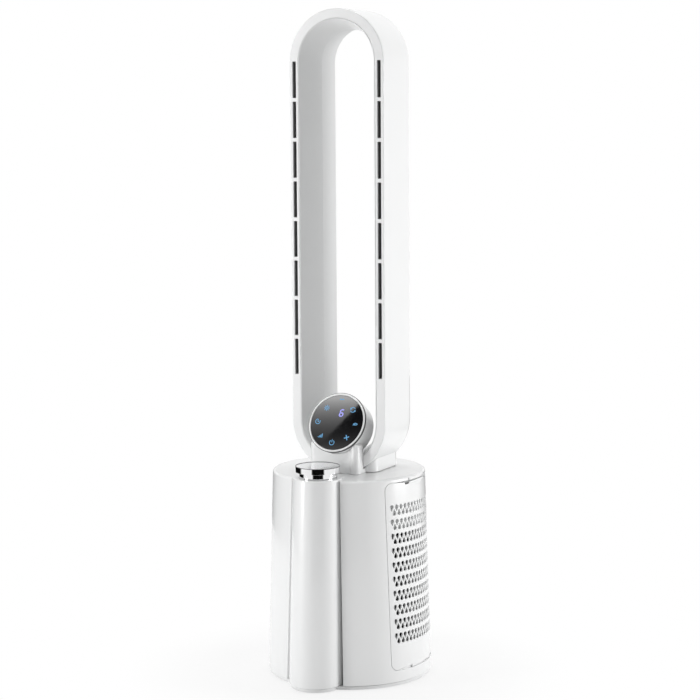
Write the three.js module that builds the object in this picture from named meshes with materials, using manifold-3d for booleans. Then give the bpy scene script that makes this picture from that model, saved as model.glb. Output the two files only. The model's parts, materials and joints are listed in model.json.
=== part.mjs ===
// A tall bladeless tower fan: a round body with a blower and two filter covers, a column at the
// front with a lift-out canister, a round touch display in a cradle, and a tall hollow loop that
// blows the air out of two rows of slits. Millimetres, +Z up, the front faces -Y, +X is right.
import * as THREE from 'three';
import { mergeVertices } from 'three/addons/utils/BufferGeometryUtils.js';
import Module from 'manifold-3d';

const wasm = await Module();
wasm.setup();

// ---- driving dimensions ----

const overallHeight = 1000;
const restingGap = 0.3;
const facets = 30;
const bodyFacets = 56;
const hiddenFacets = 20;
const boreFacets = 16;
const blowerFacets = 26;

// feet and plinth
const footHeight = 1.7;
const footRadius = 9;
const footCircleRadius = 100;
const plinthThickness = 5.4;
const plinthInset = 2.7;

// body
const bodyBottomZ = 8.2;
const deckZ = 312.8;
const bodyBottomRadius = 124.5;
const bodyTopRadius = 115.1;
const bodyWall = 2.6;
const rimFillet = 4;

// column at the front of the body
const columnBottomRadius = 40.5;
const columnTopRadius = 36.5;
const columnBottomY = -111;
const columnTopY = -101;
const columnRise = 2.7;
const columnWall = 2.5;
const columnLip = 4.5;
const columnSeam = 0.7;

// groove in the body on each side of the column: its wall's slope from the Y axis, and how far round
// the column, from its front, the wall meets it
const grooveSlope = 27;
const grooveBottomTurn = 109;
const grooveTopTurn = 89;
const grooveWall = 2.4;

// canister and its knob
const canisterHeight = 104;
const canisterWall = 1.8;
const sleeveWall = 1.7;
const slidingGap = 0.4;
const knobRadius = 33.3;
const knobEdge = 8.5;
const knobNeckRadius = 28;
const knobNeckHeight = 8.2;
const plugDepth = 12;
const sealSection = 2.4;

// filter covers on the left and right sides
const windowHalfWidth = 68.2;
const windowBottomZ = 25;
const windowTopZ = 307;
const windowCorner = 11;
const coverSeam = 0.5;
const coverWall = 2.5;
const hookDepth = 5;
const hookWidth = 16;
const hookThickness = 2;
const hookReach = 30;
const latchOffset = 29.5;
const latchSlotWidth = 9.5;
const latchSlotHeight = 2.2;
const latchSlotDrop = 3.6;
const notchOffset = 25.3;
const notchWidth = 2.8;
const notchHeight = 3.6;

// drop-shaped air holes in the covers
const dropRows = 10;
const dropRowPitch = 21.36;
const dropTopZ = 274;
const dropPitch = 7.84;
const dropWidth = 5.6;
const dropHeight = 9.6;
const dropStagger = 6.3;
const dropsPerHole = 7;

// filter packs and the frames that they seat on
const packThickness = 17;
const packHalfWidth = 60;
const packTopClearance = 12;
const packBottomClearance = 6;
const frameThickness = 2.4;
const frameBar = 5;

// floor of the body and the turntable
const floorZ = 24;
const floorThickness = 3;
const glideRadius = 64;
const glideWidth = 10;
const glideHeight = 2.4;
const postRadius = 8;
const postBore = 5;
const postFlangeRadius = 20;
const postFlangeHeight = 2.8;
const gearModule = 1.6;
const fixedGearTeeth = 30;
const pinionTeeth = 12;
const gearHeight = 6;
const gearBacklash = 0.25;
const pinionShaftRadius = 3;
const swingMotorRadius = 18;
const swingMotorHeight = 20;

// blower
const casingRadius = 70.5;
const casingWall = 2.3;
const bellZ = 128;
const bellHeight = 22;
const bellFlare = 9;
const impellerRadius = 66;
const impellerHeight = 38;
const impellerGap = 4;
const impellerBlades = 9;
const hubBottomRadius = 22;
const hubTopRadius = 37;
const bladeThickness = 1.8;
const bladeTwist = 0.75;
const shaftRadius = 4;
const motorRadius = 30;
const motorHeight = 56;
const motorLift = 2;
const motorHeadroom = 4;
const vaneCount = 9;
const cupCrown = 4;
const cupTopClearance = 2;
const casingTopZ = 272;
const ductWall = 2.2;
const ductCount = 32;

// neck between the body and the loop
const neckHalfWidth = 56.5;
const neckFrontY = -25;
const neckBackY = 58;
const neckCorner = 14;
const neckWall = 2.6;
const neckSealHeight = 0.6;
const neckHeight = 32;

// loop
const loopRadius = 77.7;
const loopFrontY = -33.4;
const loopDepth = 99.4;
const loopBand = 14.6;
const throatRadius = 48.7;
const throatDepth = 48.3;
const loopBackRadius = 52.5;
const loopBackCorner = 17;
const loopWall = 2.2;
const loopLowerZ = 388;
const loopFootClearance = 4;
const loopSeam = 0.4;

// slits in the loop's front face
const slitCount = 8;
const slitBar = 5.2;
const slitWidth = 6;
const slitX = 70;
const slitTopRise = 1.3;
const slitBottomRise = 68.48;
const linerDepth = 7;

// round display and its cradle
const displayY = -39.5;
const displayZ = 388.2;
const displayTilt = 26.4;
const bezelRadius = 46.8;
const bezelWidth = 3.6;
const bezelDepth = 4;
const drumRadius = 45;
const drumDepth = 31;
const drumWall = 2.4;
const bossRadius = 36;
const bossDepth = 12;
const glassThickness = 2;
const boardThickness = 1.6;
const cradleHalfWidth = 40.9;
const cradleFrontY = -50.6;
const cradlePillarRadius = 8;
const cradleWebSetback = 5.5;
const cradleWebFillet = 6;
const cradleHeight = 45;
const cradleStepHeight = 6.4;
const cradleScrewRadius = 1.6;
const cradleScrewLength = 14;
const cradleScrewHead = 2;
const cradleScrewHeadRadius = 3;

// mains inlet at the back
const inletZ = 38;
const inletWidth = 24;
const inletHeight = 15;
const inletDepth = 17;
const socketWidth = 15;
const socketHeight = 8;
const socketDepth = 12;
const pinRadius = 1.2;
const pinSpacing = 8.6;
const pinLength = 7;

// electronics
const powerBoardWidth = 78;
const powerBoardHeight = 66;
const transformerWidth = 24;
const transformerHeight = 22;
const transformerDepth = 20;
const transformerX = -16;
const transformerRise = 8;
const capacitorRadius = 7;
const capacitorLength = 22;
const capacitorX = 16;
const capacitorPitch = 20;

// how far a cutting shape runs on past what it cuts
const overrun = 20;

// ---- values worked out from them ----

const plinthZ = footHeight + restingGap;
const plinthTopZ = plinthZ + plinthThickness;
const plinthRadius = bodyBottomRadius - plinthInset;
const columnTopZ = deckZ + columnRise;
const fanY = (neckFrontY + neckBackY) / 2;
const loopBackY = loopFrontY + loopDepth;
const loopUpperZ = overallHeight - loopRadius;
const loopFootZ = deckZ + loopFootClearance;
const slitTopZ = loopUpperZ + slitTopRise;
const slitPitch = (slitTopZ + slitBar - loopLowerZ - slitBottomRise) / slitCount;
const slitLength = slitPitch - slitBar;
const vaneTopZ = casingTopZ - cupTopClearance - cupCrown;
const vaneZ = vaneTopZ - motorHeadroom - motorHeight - motorLift;
const impellerTopZ = vaneZ - impellerGap;
const impellerZ = impellerTopZ - impellerHeight;
const frontReach = columnBottomY - columnBottomRadius;
const fanOffsetY = -(frontReach + bodyBottomRadius) / 2;
const floorTopZ = floorZ + floorThickness;
const cradlePillarX = cradleHalfWidth - cradlePillarRadius;
const cradlePillarY = cradleFrontY + cradlePillarRadius;
const nearSide = windowHalfWidth - 8;
const farSide = bodyBottomRadius + 15;

function bodyRadiusAt(z) {
  const rise = (z - bodyBottomZ) / (deckZ - bodyBottomZ);
  return bodyBottomRadius + (bodyTopRadius - bodyBottomRadius) * rise;
}

function columnRadiusAt(z) {
  const rise = (z - bodyBottomZ) / (columnTopZ - bodyBottomZ);
  return columnBottomRadius + (columnTopRadius - columnBottomRadius) * rise;
}

function columnYAt(z) {
  const rise = (z - bodyBottomZ) / (columnTopZ - bodyBottomZ);
  return columnBottomY + (columnTopY - columnBottomY) * rise;
}

// ---- materials ----

function plastic(color, roughness) {
  return new THREE.MeshStandardMaterial({ color, roughness, metalness: 0 });
}

function metal(color, roughness) {
  return new THREE.MeshStandardMaterial({ color, roughness, metalness: 1 });
}

const whiteGloss = plastic(0xf2f2f2, 0.25);
const whiteSatin = plastic(0xe9eaea, 0.4);
const whiteInner = plastic(0xd5d7d7, 0.55);
const blackPlastic = plastic(0x1b1c1e, 0.5);
const greyPlastic = plastic(0x85888a, 0.6);
const blackGlass = plastic(0x08090b, 0.06);
const chrome = metal(0xdfe1e3, 0.08);
const steel = metal(0xa9acb0, 0.35);
const rubber = plastic(0x242424, 0.9);
const filterPaper = plastic(0x3d4043, 0.95);
const gearPlastic = plastic(0xe4e0d0, 0.5);
const boardGreen = plastic(0x1f5a38, 0.55);
const brass = metal(0xc9a55a, 0.3);

// ---- closed solids, and joining and cutting them ----

function welded(geometry) {
  const bare = geometry.clone();
  bare.deleteAttribute('normal');
  bare.deleteAttribute('uv');
  const merged = mergeVertices(bare, 1e-4);
  const index = merged.getIndex().array;
  const kept = [];
  for (let i = 0; i < index.length; i += 3) {
    const [a, b, c] = [index[i], index[i + 1], index[i + 2]];
    if (a !== b && b !== c && c !== a) kept.push(a, b, c);
  }
  merged.setIndex(kept);
  return merged;
}

function signedVolume(geometry) {
  const at = geometry.getAttribute('position');
  const index = geometry.getIndex().array;
  const [a, b, c] = [new THREE.Vector3(), new THREE.Vector3(), new THREE.Vector3()];
  let sum = 0;
  for (let i = 0; i < index.length; i += 3) {
    a.fromBufferAttribute(at, index[i]);
    b.fromBufferAttribute(at, index[i + 1]);
    c.fromBufferAttribute(at, index[i + 2]);
    sum += a.dot(b.cross(c)) / 6;
  }
  return sum;
}

function facingOut(geometry) {
  const closed = welded(geometry);
  if (signedVolume(closed) < 0) {
    const index = closed.getIndex().array;
    for (let i = 0; i < index.length; i += 3) {
      [index[i], index[i + 1]] = [index[i + 1], index[i]];
    }
    closed.getIndex().needsUpdate = true;
  }
  return closed;
}

function solid(geometry) {
  const closed = facingOut(geometry);
  const vertProperties = new Float32Array(closed.getAttribute('position').array);
  const triVerts = new Uint32Array(closed.getIndex().array);
  return new wasm.Manifold(new wasm.Mesh({ numProp: 3, vertProperties, triVerts }));
}

function meshGeometry(manifold) {
  const mesh = manifold.getMesh();
  const geometry = new THREE.BufferGeometry();
  geometry.setAttribute('position', new THREE.BufferAttribute(new Float32Array(mesh.vertProperties), 3));
  geometry.setIndex(new THREE.BufferAttribute(new Uint32Array(mesh.triVerts), 1));
  geometry.computeVertexNormals();
  return geometry;
}

function joined(...solids) {
  return solids.reduce((whole, next) => whole.add(next));
}

function cutBy(whole, ...cutters) {
  return cutters.reduce((left, cutter) => left.subtract(cutter), whole);
}

// ---- basic shapes ----

// a turned solid from a profile of [radius, z] points that starts and ends on the axis
function turned(profile, segments = facets) {
  const points = profile.map(([r, z]) => new THREE.Vector2(r, z));
  return new THREE.LatheGeometry(points, segments).rotateX(Math.PI / 2);
}

// a turned ring from a closed profile that stays clear of the axis
function turnedRing(profile, segments = facets) {
  return turned([...profile, profile[0]], segments);
}

function ring(outerRadius, innerRadius, z0, z1, segments = facets) {
  return turnedRing([[innerRadius, z0], [outerRadius, z0], [outerRadius, z1], [innerRadius, z1]], segments);
}

function disc(radius, z0, z1, segments = facets) {
  return new THREE.CylinderGeometry(radius, radius, z1 - z0, segments)
    .rotateX(Math.PI / 2)
    .translate(0, 0, (z0 + z1) / 2);
}

function block(x0, x1, y0, y1, z0, z1) {
  return new THREE.BoxGeometry(Math.abs(x1 - x0), y1 - y0, z1 - z0)
    .translate((x0 + x1) / 2, (y0 + y1) / 2, (z0 + z1) / 2);
}

function roundedRectangle(x0, x1, y0, y1, radius) {
  const shape = new THREE.Shape();
  shape.moveTo(x0 + radius, y0);
  shape.lineTo(x1 - radius, y0);
  shape.absarc(x1 - radius, y0 + radius, radius, -Math.PI / 2, 0, false);
  shape.lineTo(x1, y1 - radius);
  shape.absarc(x1 - radius, y1 - radius, radius, 0, Math.PI / 2, false);
  shape.lineTo(x0 + radius, y1);
  shape.absarc(x0 + radius, y1 - radius, radius, Math.PI / 2, Math.PI, false);
  shape.lineTo(x0, y0 + radius);
  shape.absarc(x0 + radius, y0 + radius, radius, Math.PI, Math.PI * 1.5, false);
  return shape;
}

// a shape drawn in X and Y, standing from z0 to z1
function upright(shape, z0, z1, curveSegments = 5) {
  return new THREE.ExtrudeGeometry(shape, { depth: z1 - z0, bevelEnabled: false, curveSegments })
    .translate(0, 0, z0);
}

// a shape drawn in Y and Z, running along X from x0 to x1
function alongX(shape, x0, x1, curveSegments = 4) {
  return new THREE.ExtrudeGeometry(shape, { depth: x1 - x0, bevelEnabled: false, curveSegments })
    .rotateX(Math.PI / 2)
    .rotateZ(Math.PI / 2)
    .translate(x0, 0, 0);
}

// a shape drawn in X and Z, running along Y from y0 to y1
function alongY(shape, y0, y1, curveSegments = 5) {
  return new THREE.ExtrudeGeometry(shape, { depth: y1 - y0, bevelEnabled: false, curveSegments })
    .rotateX(Math.PI / 2)
    .translate(0, y1, 0);
}

// a round cone whose centre drifts along Y as it rises
function leaningCone(r0, y0, z0, r1, y1, z1, segments = facets) {
  const height = z1 - z0;
  const drift = (y1 - y0) / height;
  const lean = new THREE.Matrix4().set(1, 0, 0, 0, 0, 1, drift, y0 - drift * z0, 0, 0, 1, 0, 0, 0, 0, 1);
  return new THREE.CylinderGeometry(r1, r0, height, segments)
    .rotateX(Math.PI / 2)
    .translate(0, 0, z0 + height / 2)
    .applyMatrix4(lean);
}

// a prism between two convex outlines of as many [x, y] corners, each at its own height
function tiltedPrism(lower, z0, upper, z1) {
  const count = lower.length;
  const corners = [...lower.map(([x, y]) => [x, y, z0]), ...upper.map(([x, y]) => [x, y, z1])];
  const index = [];
  for (let i = 0; i < count; i += 1) {
    const next = (i + 1) % count;
    index.push(i, next, count + next, i, count + next, count + i);
    if (i > 0 && next > 0) index.push(0, next, i, count, count + i, count + next);
  }
  const geometry = new THREE.BufferGeometry();
  geometry.setAttribute('position', new THREE.Float32BufferAttribute(corners.flat(), 3));
  geometry.setIndex(index);
  return geometry;
}

// a surface through rows of points: each row is a closed outline, and the rows close on themselves
function wrappedGrid(rows) {
  const count = rows[0].length;
  const positions = rows.flat().flatMap((point) => point.toArray());
  const index = [];
  for (let i = 0; i < rows.length; i += 1) {
    for (let j = 0; j < count; j += 1) {
      const a = i * count + j;
      const b = i * count + ((j + 1) % count);
      const c = ((i + 1) % rows.length) * count + j;
      const d = ((i + 1) % rows.length) * count + ((j + 1) % count);
      index.push(a, b, d, a, d, c);
    }
  }
  const geometry = new THREE.BufferGeometry();
  geometry.setAttribute('position', new THREE.Float32BufferAttribute(positions, 3));
  geometry.setIndex(index);
  return geometry;
}

// a profile of [radius, y] points carried round the loop's tall track
function roundTheLoop(profile, arcSteps = 16) {
  const rows = [];
  for (const [centreZ, from] of [[loopUpperZ, 0], [loopLowerZ, Math.PI]]) {
    for (let step = 0; step <= arcSteps; step += 1) {
      const angle = from + (Math.PI * step) / arcSteps;
      const across = Math.cos(angle);
      const rise = Math.sin(angle);
      rows.push(profile.map(([r, y]) => new THREE.Vector3(r * across, y, centreZ + r * rise)));
    }
  }
  return wrappedGrid(rows);
}

// the whole inside of the loop's outline, from one depth to another
function loopFilled(radius, y0, y1) {
  const shape = new THREE.Shape();
  shape.absarc(0, loopUpperZ, radius, 0, Math.PI, false);
  shape.absarc(0, loopLowerZ, radius, Math.PI, 2 * Math.PI, false);
  return alongY(shape, y0, y1, 16);
}

// ---- the scene ----

const fan = new THREE.Group();
fan.name = 'bladeless_fan';
fan.position.y = fanOffsetY;

function add(name, geometry, material, parent = fan) {
  const mesh = new THREE.Mesh(geometry, material);
  mesh.name = name;
  parent.add(mesh);
  return mesh;
}

function addSolid(name, manifold, material, parent = fan) {
  return add(name, meshGeometry(manifold), material, parent);
}

function addTurned(name, geometry, material, parent = fan) {
  return add(name, facingOut(geometry), material, parent);
}

// a pan-head screw: its head's top is at z = 0 and it points down
function screw(headRadius, headHeight, shankRadius, length) {
  return facingOut(turned([
    [0, -headHeight - length],
    [shankRadius, -headHeight - length],
    [shankRadius, -headHeight],
    [headRadius, -headHeight],
    [headRadius, -headHeight * 0.4],
    [headRadius * 0.7, 0],
    [0, 0],
  ], 10));
}

function hexNut(cornerRadius, boreRadius, z0, z1) {
  return cutBy(solid(disc(cornerRadius, z0, z1, 6)), solid(disc(boreRadius, z0 - 1, z1 + 1, boreFacets)));
}

// ---- plinth and feet ----

function outline(bodyRadius, columnRadius, z0, z1) {
  return joined(solid(disc(bodyRadius, z0, z1, bodyFacets)),
    solid(disc(columnRadius, z0, z1).translate(0, columnBottomY, 0)));
}

addSolid('plinth', outline(plinthRadius, columnBottomRadius - plinthInset, plinthZ, plinthTopZ), whiteSatin);

const frontFootY = columnBottomY - columnBottomRadius / 2;
const footPlaces = { front: [0, frontFootY] };
const footAngles = { front_left: 225, front_right: 315, rear_left: 135, rear_right: 45 };
for (const [name, degrees] of Object.entries(footAngles)) {
  const angle = THREE.MathUtils.degToRad(degrees);
  footPlaces[name] = [footCircleRadius * Math.cos(angle), footCircleRadius * Math.sin(angle)];
}
for (const [name, [x, y]] of Object.entries(footPlaces)) {
  addTurned(`foot_${name}`, disc(footRadius, 0, footHeight, 16), rubber).position.set(x, y, 0);
}

// ---- turntable ----

const flangeTopZ = plinthTopZ + restingGap + postFlangeHeight;
const washerZ = floorTopZ + restingGap;
const washerTopZ = washerZ + 1.6;
const nutZ = washerTopZ + restingGap;
const nutTopZ = nutZ + 6;
const postTopZ = nutTopZ + 3;
addTurned('pivot_post', turnedRing([
  [postBore, plinthTopZ + restingGap],
  [postFlangeRadius, plinthTopZ + restingGap],
  [postFlangeRadius, flangeTopZ],
  [postRadius, flangeTopZ],
  [postRadius, postTopZ],
  [postBore, postTopZ],
], 24), steel);
addTurned('pivot_washer', ring(postRadius + 7, postRadius + slidingGap, washerZ, washerTopZ, 24), steel);
addSolid('pivot_nut', hexNut(postRadius + 5.5, postRadius + restingGap, nutZ, nutTopZ), steel);
addTurned('glide_ring', ring(glideRadius + glideWidth / 2, glideRadius - glideWidth / 2,
  plinthTopZ + restingGap, plinthTopZ + restingGap + glideHeight, hiddenFacets), gearPlastic);

// a spur gear with straight-sided teeth, thinned for backlash
function gear(teeth, z0, z1) {
  const pitchRadius = (gearModule * teeth) / 2;
  const rootRadius = pitchRadius - 1.25 * gearModule;
  const tipRadius = pitchRadius + gearModule;
  const toothWidth = (Math.PI * gearModule) / 2 - gearBacklash;
  const slope = Math.tan(THREE.MathUtils.degToRad(20));
  const rootHalf = (toothWidth / 2 + 1.25 * gearModule * slope * 0.6) / rootRadius;
  const tipHalf = (toothWidth / 2 - gearModule * slope) / tipRadius;
  const shape = new THREE.Shape();
  for (let tooth = 0; tooth < teeth; tooth += 1) {
    const middle = (2 * Math.PI * tooth) / teeth;
    const risingFlank = [[rootRadius, -rootHalf], [tipRadius, -tipHalf]];
    const fallingFlank = [[tipRadius, tipHalf], [rootRadius, rootHalf]];
    for (const [radius, turn] of [...risingFlank, ...fallingFlank]) {
      const [x, y] = [radius * Math.cos(middle + turn), radius * Math.sin(middle + turn)];
      if (tooth === 0 && turn === -rootHalf) shape.moveTo(x, y);
      else shape.lineTo(x, y);
    }
  }
  return solid(upright(shape, z0, z1));
}

const gearZ = flangeTopZ + restingGap;
const gearTopZ = gearZ + gearHeight;
addSolid('fixed_gear', cutBy(gear(fixedGearTeeth, gearZ, gearTopZ),
  solid(disc(postRadius + restingGap, gearZ - 1, gearTopZ + 1, 24))), gearPlastic);

// the pinion meshes with the fixed gear behind the post, a gap of the one on a tooth of the other
const pinionY = (gearModule * (fixedGearTeeth + pinionTeeth)) / 2 + gearBacklash;
const swingMotorZ = floorTopZ + restingGap;
const pinionShaftTopZ = swingMotorZ + swingMotorHeight / 2;
const pinion = joined(
  gear(pinionTeeth, gearZ + slidingGap, gearTopZ - slidingGap),
  solid(disc(pinionShaftRadius, gearZ + slidingGap, pinionShaftTopZ, boreFacets)),
);
const pinionMesh = addSolid('drive_pinion', pinion, gearPlastic);
pinionMesh.position.y = pinionY;
const toothOffset = Math.round(fixedGearTeeth / 4) - fixedGearTeeth / 4;
pinionMesh.rotation.z = -Math.PI / 2 - (Math.PI + 2 * Math.PI * toothOffset) / pinionTeeth;
addSolid('swing_motor', cutBy(
  joined(solid(disc(swingMotorRadius, swingMotorZ, swingMotorZ + swingMotorHeight, hiddenFacets)),
    solid(block(-swingMotorRadius - 7, swingMotorRadius + 7, -5, 5, swingMotorZ, swingMotorZ + 1.5))),
  solid(disc(pinionShaftRadius + slidingGap, swingMotorZ - 1, pinionShaftTopZ + 1, boreFacets)),
), steel).position.y = pinionY;

// ---- body ----

function filletArc(centreR, centreZ, radius, fromDegrees, toDegrees, steps) {
  const points = [];
  for (let step = 0; step <= steps; step += 1) {
    const angle = THREE.MathUtils.degToRad(fromDegrees + ((toDegrees - fromDegrees) * step) / steps);
    points.push([centreR + radius * Math.cos(angle), centreZ + radius * Math.sin(angle)]);
  }
  return points;
}

const deckUndersideZ = deckZ - bodyWall;
const bodyProfile = [
  [0, deckUndersideZ],
  [bodyRadiusAt(deckUndersideZ) - bodyWall - 0.5, deckUndersideZ],
  [bodyBottomRadius - bodyWall, bodyBottomZ],
  [bodyBottomRadius, bodyBottomZ],
  ...filletArc(bodyRadiusAt(deckZ - rimFillet) - rimFillet, deckZ - rimFillet, rimFillet, 0, 90, 2),
  [0, deckZ],
];

// the column's outline, wider by a gap, to clear a way for it
function columnCutter(gap) {
  const top = columnTopZ + overrun;
  const bottomRadius = columnBottomRadius + gap;
  const topRadius = columnRadiusAt(top) + gap;
  return joined(
    solid(leaningCone(bottomRadius, columnBottomY, bodyBottomZ, topRadius, columnYAt(top), top)),
    solid(disc(bottomRadius, bodyBottomZ - 9, bodyBottomZ + 0.01).translate(0, columnBottomY, 0)),
  );
}

// a prism beside the column, with corners given along and across the groove's wall from its foot
function groovePrism(side, corners) {
  const slope = THREE.MathUtils.degToRad(grooveSlope);
  const sections = [bodyBottomZ - 1, deckZ + 1].map((z) => {
    const rise = (z - bodyBottomZ) / (deckZ - bodyBottomZ);
    const turn = THREE.MathUtils.degToRad(grooveBottomTurn + (grooveTopTurn - grooveBottomTurn) * rise);
    const reach = columnRadiusAt(z) + columnSeam;
    const footX = reach * Math.sin(turn);
    const footY = columnYAt(z) - reach * Math.cos(turn);
    return corners.map(([along, across]) => [
      side * (footX + along * Math.sin(slope) + across * Math.cos(slope)),
      footY - along * Math.cos(slope) + across * Math.sin(slope),
    ]);
  });
  return solid(tiltedPrism(sections[0], bodyBottomZ - 1, sections[1], deckZ + 1));
}

// the wall runs out past the body's surface, and the room cut for the groove reaches into the column
const grooveReach = bodyBottomRadius + columnBottomY + columnBottomRadius;
const grooveInward = columnTopRadius;
const wallClearance = 0.5;
const grooveMouth = [[0, 0], [grooveReach, 0], [grooveReach, -grooveInward],
  [grooveInward / 2, -grooveInward]];
const grooveBacking = [[0, 0], [grooveReach, 0], [grooveReach, grooveWall], [0, grooveWall]];
const grooveRoom = [[-wallClearance, -grooveInward], [grooveReach, -grooveInward],
  [grooveReach, grooveWall + wallClearance], [-wallClearance, grooveWall + wallClearance]];

// a side window's outline, smaller by an inset, running out along X
function windowPrism(inset, x0, x1) {
  const shape = roundedRectangle(-windowHalfWidth + inset, windowHalfWidth - inset,
    windowBottomZ + inset, windowTopZ - inset, windowCorner - inset);
  return solid(alongX(shape, x0, x1));
}

function neckPrism(inset, z0, z1) {
  const shape = roundedRectangle(-neckHalfWidth + inset, neckHalfWidth - inset,
    neckFrontY + inset, neckBackY - inset, neckCorner - inset);
  return solid(upright(shape, z0, z1));
}

const inletY = bodyRadiusAt(inletZ) - inletDepth - 0.4;
const inletHole = solid(block(-inletWidth / 2 - restingGap, inletWidth / 2 + restingGap, inletY - 10,
  bodyBottomRadius + 5, inletZ - inletHeight / 2 - restingGap, inletZ + inletHeight / 2 + restingGap));
const shellCuts = [
  columnCutter(columnSeam),
  groovePrism(1, grooveMouth),
  groovePrism(-1, grooveMouth),
  windowPrism(0, nearSide, farSide),
  windowPrism(0, -farSide, -nearSide),
  neckPrism(neckWall, deckZ - 10, deckZ + 10),
  inletHole,
];
for (const side of [-1, 1]) {
  shellCuts.push(solid(disc(cradleScrewRadius + 0.4, deckZ - 10, deckZ + 1, boreFacets)
    .translate(side * cradlePillarX, cradlePillarY, 0)));
  // the finger notches in the rim above the cover's slots
  for (const y of [-notchOffset, notchOffset]) {
    const [x0, x1] = [side * nearSide, side * farSide];
    shellCuts.push(solid(block(Math.min(x0, x1), Math.max(x0, x1), y - notchWidth / 2, y + notchWidth / 2,
      windowTopZ - 1, windowTopZ + notchHeight)));
  }
}
const filledBody = solid(turned([[0, bodyBottomZ], ...bodyProfile.slice(3)], bodyFacets));
const grooveWalls = [-1, 1].map((side) => groovePrism(side, grooveBacking).intersect(filledBody));
const openBody = solid(turned(bodyProfile, bodyFacets));
addSolid('body_shell', cutBy(joined(openBody, ...grooveWalls), ...shellCuts), whiteGloss);

// ---- column ----

const sleeveBottomZ = columnTopZ - columnLip - canisterHeight - 6;
const sleeveTopZ = columnTopZ - columnLip - restingGap;
const sleeveDrift = Math.abs(columnYAt(sleeveBottomZ) - columnTopY);
const sleeveOuterRadius = columnRadiusAt(sleeveTopZ) - columnWall - sleeveDrift - restingGap;
const sleeveInnerRadius = sleeveOuterRadius - sleeveWall;
const columnHoleRadius = sleeveInnerRadius + 0.2;
const canisterRadius = sleeveInnerRadius - slidingGap;
const canisterBore = canisterRadius - canisterWall;
const innerBottomZ = bodyBottomZ + columnWall;
const innerTopZ = columnTopZ - columnLip;
addSolid('column_shell', cutBy(
  solid(leaningCone(columnBottomRadius, columnBottomY, bodyBottomZ, columnTopRadius, columnTopY, columnTopZ)),
  solid(leaningCone(columnRadiusAt(innerBottomZ) - columnWall, columnYAt(innerBottomZ), innerBottomZ,
    columnRadiusAt(innerTopZ) - columnWall, columnYAt(innerTopZ), innerTopZ)),
  solid(disc(columnHoleRadius, innerTopZ - 1, columnTopZ + 1).translate(0, columnTopY, 0)),
), whiteGloss);

const column = new THREE.Group();
column.position.y = columnTopY;
fan.add(column);

addTurned('canister_sleeve', turned([
  [0, sleeveBottomZ - sleeveWall],
  [sleeveOuterRadius, sleeveBottomZ - sleeveWall],
  [sleeveOuterRadius, sleeveTopZ],
  [sleeveInnerRadius, sleeveTopZ],
  [sleeveInnerRadius, sleeveBottomZ],
  [0, sleeveBottomZ],
]), whiteInner, column);

const canisterZ = sleeveBottomZ + restingGap;
const canisterTopZ = columnTopZ;
addTurned('canister', turned([
  [0, canisterZ],
  [canisterRadius, canisterZ],
  [canisterRadius, canisterTopZ],
  [canisterBore, canisterTopZ],
  [canisterBore, canisterZ + canisterWall],
  [0, canisterZ + canisterWall],
]), whiteSatin, column);

// the knob is a mirror-topped disc on a narrower neck, with a plug and seal ring under it
const neckZ = canisterTopZ + restingGap;
const neckTopZ = neckZ + knobNeckHeight;
const knobZ = neckTopZ + restingGap;
const knobTopZ = knobZ + knobEdge;
const plugRadius = canisterBore - slidingGap;
const sealZ = neckZ - plugDepth / 2;
addTurned('knob_disc', turned([
  [0, knobZ],
  [knobRadius - 0.8, knobZ],
  [knobRadius, knobZ + 0.8],
  [knobRadius, knobTopZ - 0.8],
  [knobRadius - 0.8, knobTopZ],
  [0, knobTopZ],
]), chrome, column);
addTurned('knob_neck', turned([
  [0, neckZ - plugDepth],
  [plugRadius, neckZ - plugDepth],
  [plugRadius, sealZ - sealSection / 2 - 0.1],
  [plugRadius - sealSection * 0.6, sealZ - sealSection / 2 - 0.1],
  [plugRadius - sealSection * 0.6, sealZ + sealSection / 2 + 0.1],
  [plugRadius, sealZ + sealSection / 2 + 0.1],
  [plugRadius, neckZ],
  [Math.min(knobNeckRadius, canisterRadius), neckZ],
  [knobNeckRadius, neckZ + 0.4],
  [knobNeckRadius, neckTopZ],
  [0, neckTopZ],
]), chrome, column);
addTurned('plug_seal', turnedRing([
  [plugRadius - sealSection * 0.5, sealZ - sealSection / 2 + 0.2],
  [canisterBore - 0.15, sealZ - sealSection / 2 + 0.5],
  [canisterBore - 0.15, sealZ + sealSection / 2 - 0.5],
  [plugRadius - sealSection * 0.5, sealZ + sealSection / 2 - 0.2],
]), rubber, column);

// ---- floor of the body ----

const ribBottomZ = plinthTopZ + glideHeight + 2 * restingGap;
const lugHeight = 34;
const lugY = columnYAt(floorTopZ + lugHeight) + columnRadiusAt(floorTopZ) + 0.9;
const floorRadius = bodyRadiusAt(floorTopZ) - bodyWall - 0.5;
function hookClearance(side) {
  const [x0, x1] = [floorRadius - 12, floorRadius + 5];
  return solid(block(side * x0, side * x1, -hookReach - 2, hookReach + 2, floorZ - 1, floorTopZ + 1));
}
const floor = cutBy(
  joined(
    solid(disc(floorRadius, floorZ, floorTopZ)),
    solid(ring(glideRadius + 3, glideRadius - 3, ribBottomZ, floorZ + 0.5, hiddenFacets)),
    solid(block(-12, 12, lugY + 0.4, lugY + 4, floorTopZ - 0.5, floorTopZ + lugHeight)),
  ),
  columnCutter(columnSeam),
  groovePrism(1, grooveRoom),
  groovePrism(-1, grooveRoom),
  solid(disc(postRadius + slidingGap, floorZ - 2, floorTopZ + 2, 24)),
  solid(disc(pinionShaftRadius + 1, floorZ - 2, floorTopZ + 2, boreFacets).translate(0, pinionY, 0)),
  hookClearance(1),
  hookClearance(-1),
);
addSolid('body_floor', floor, whiteInner);

// ---- filter covers, packs and inner frames ----

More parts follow.
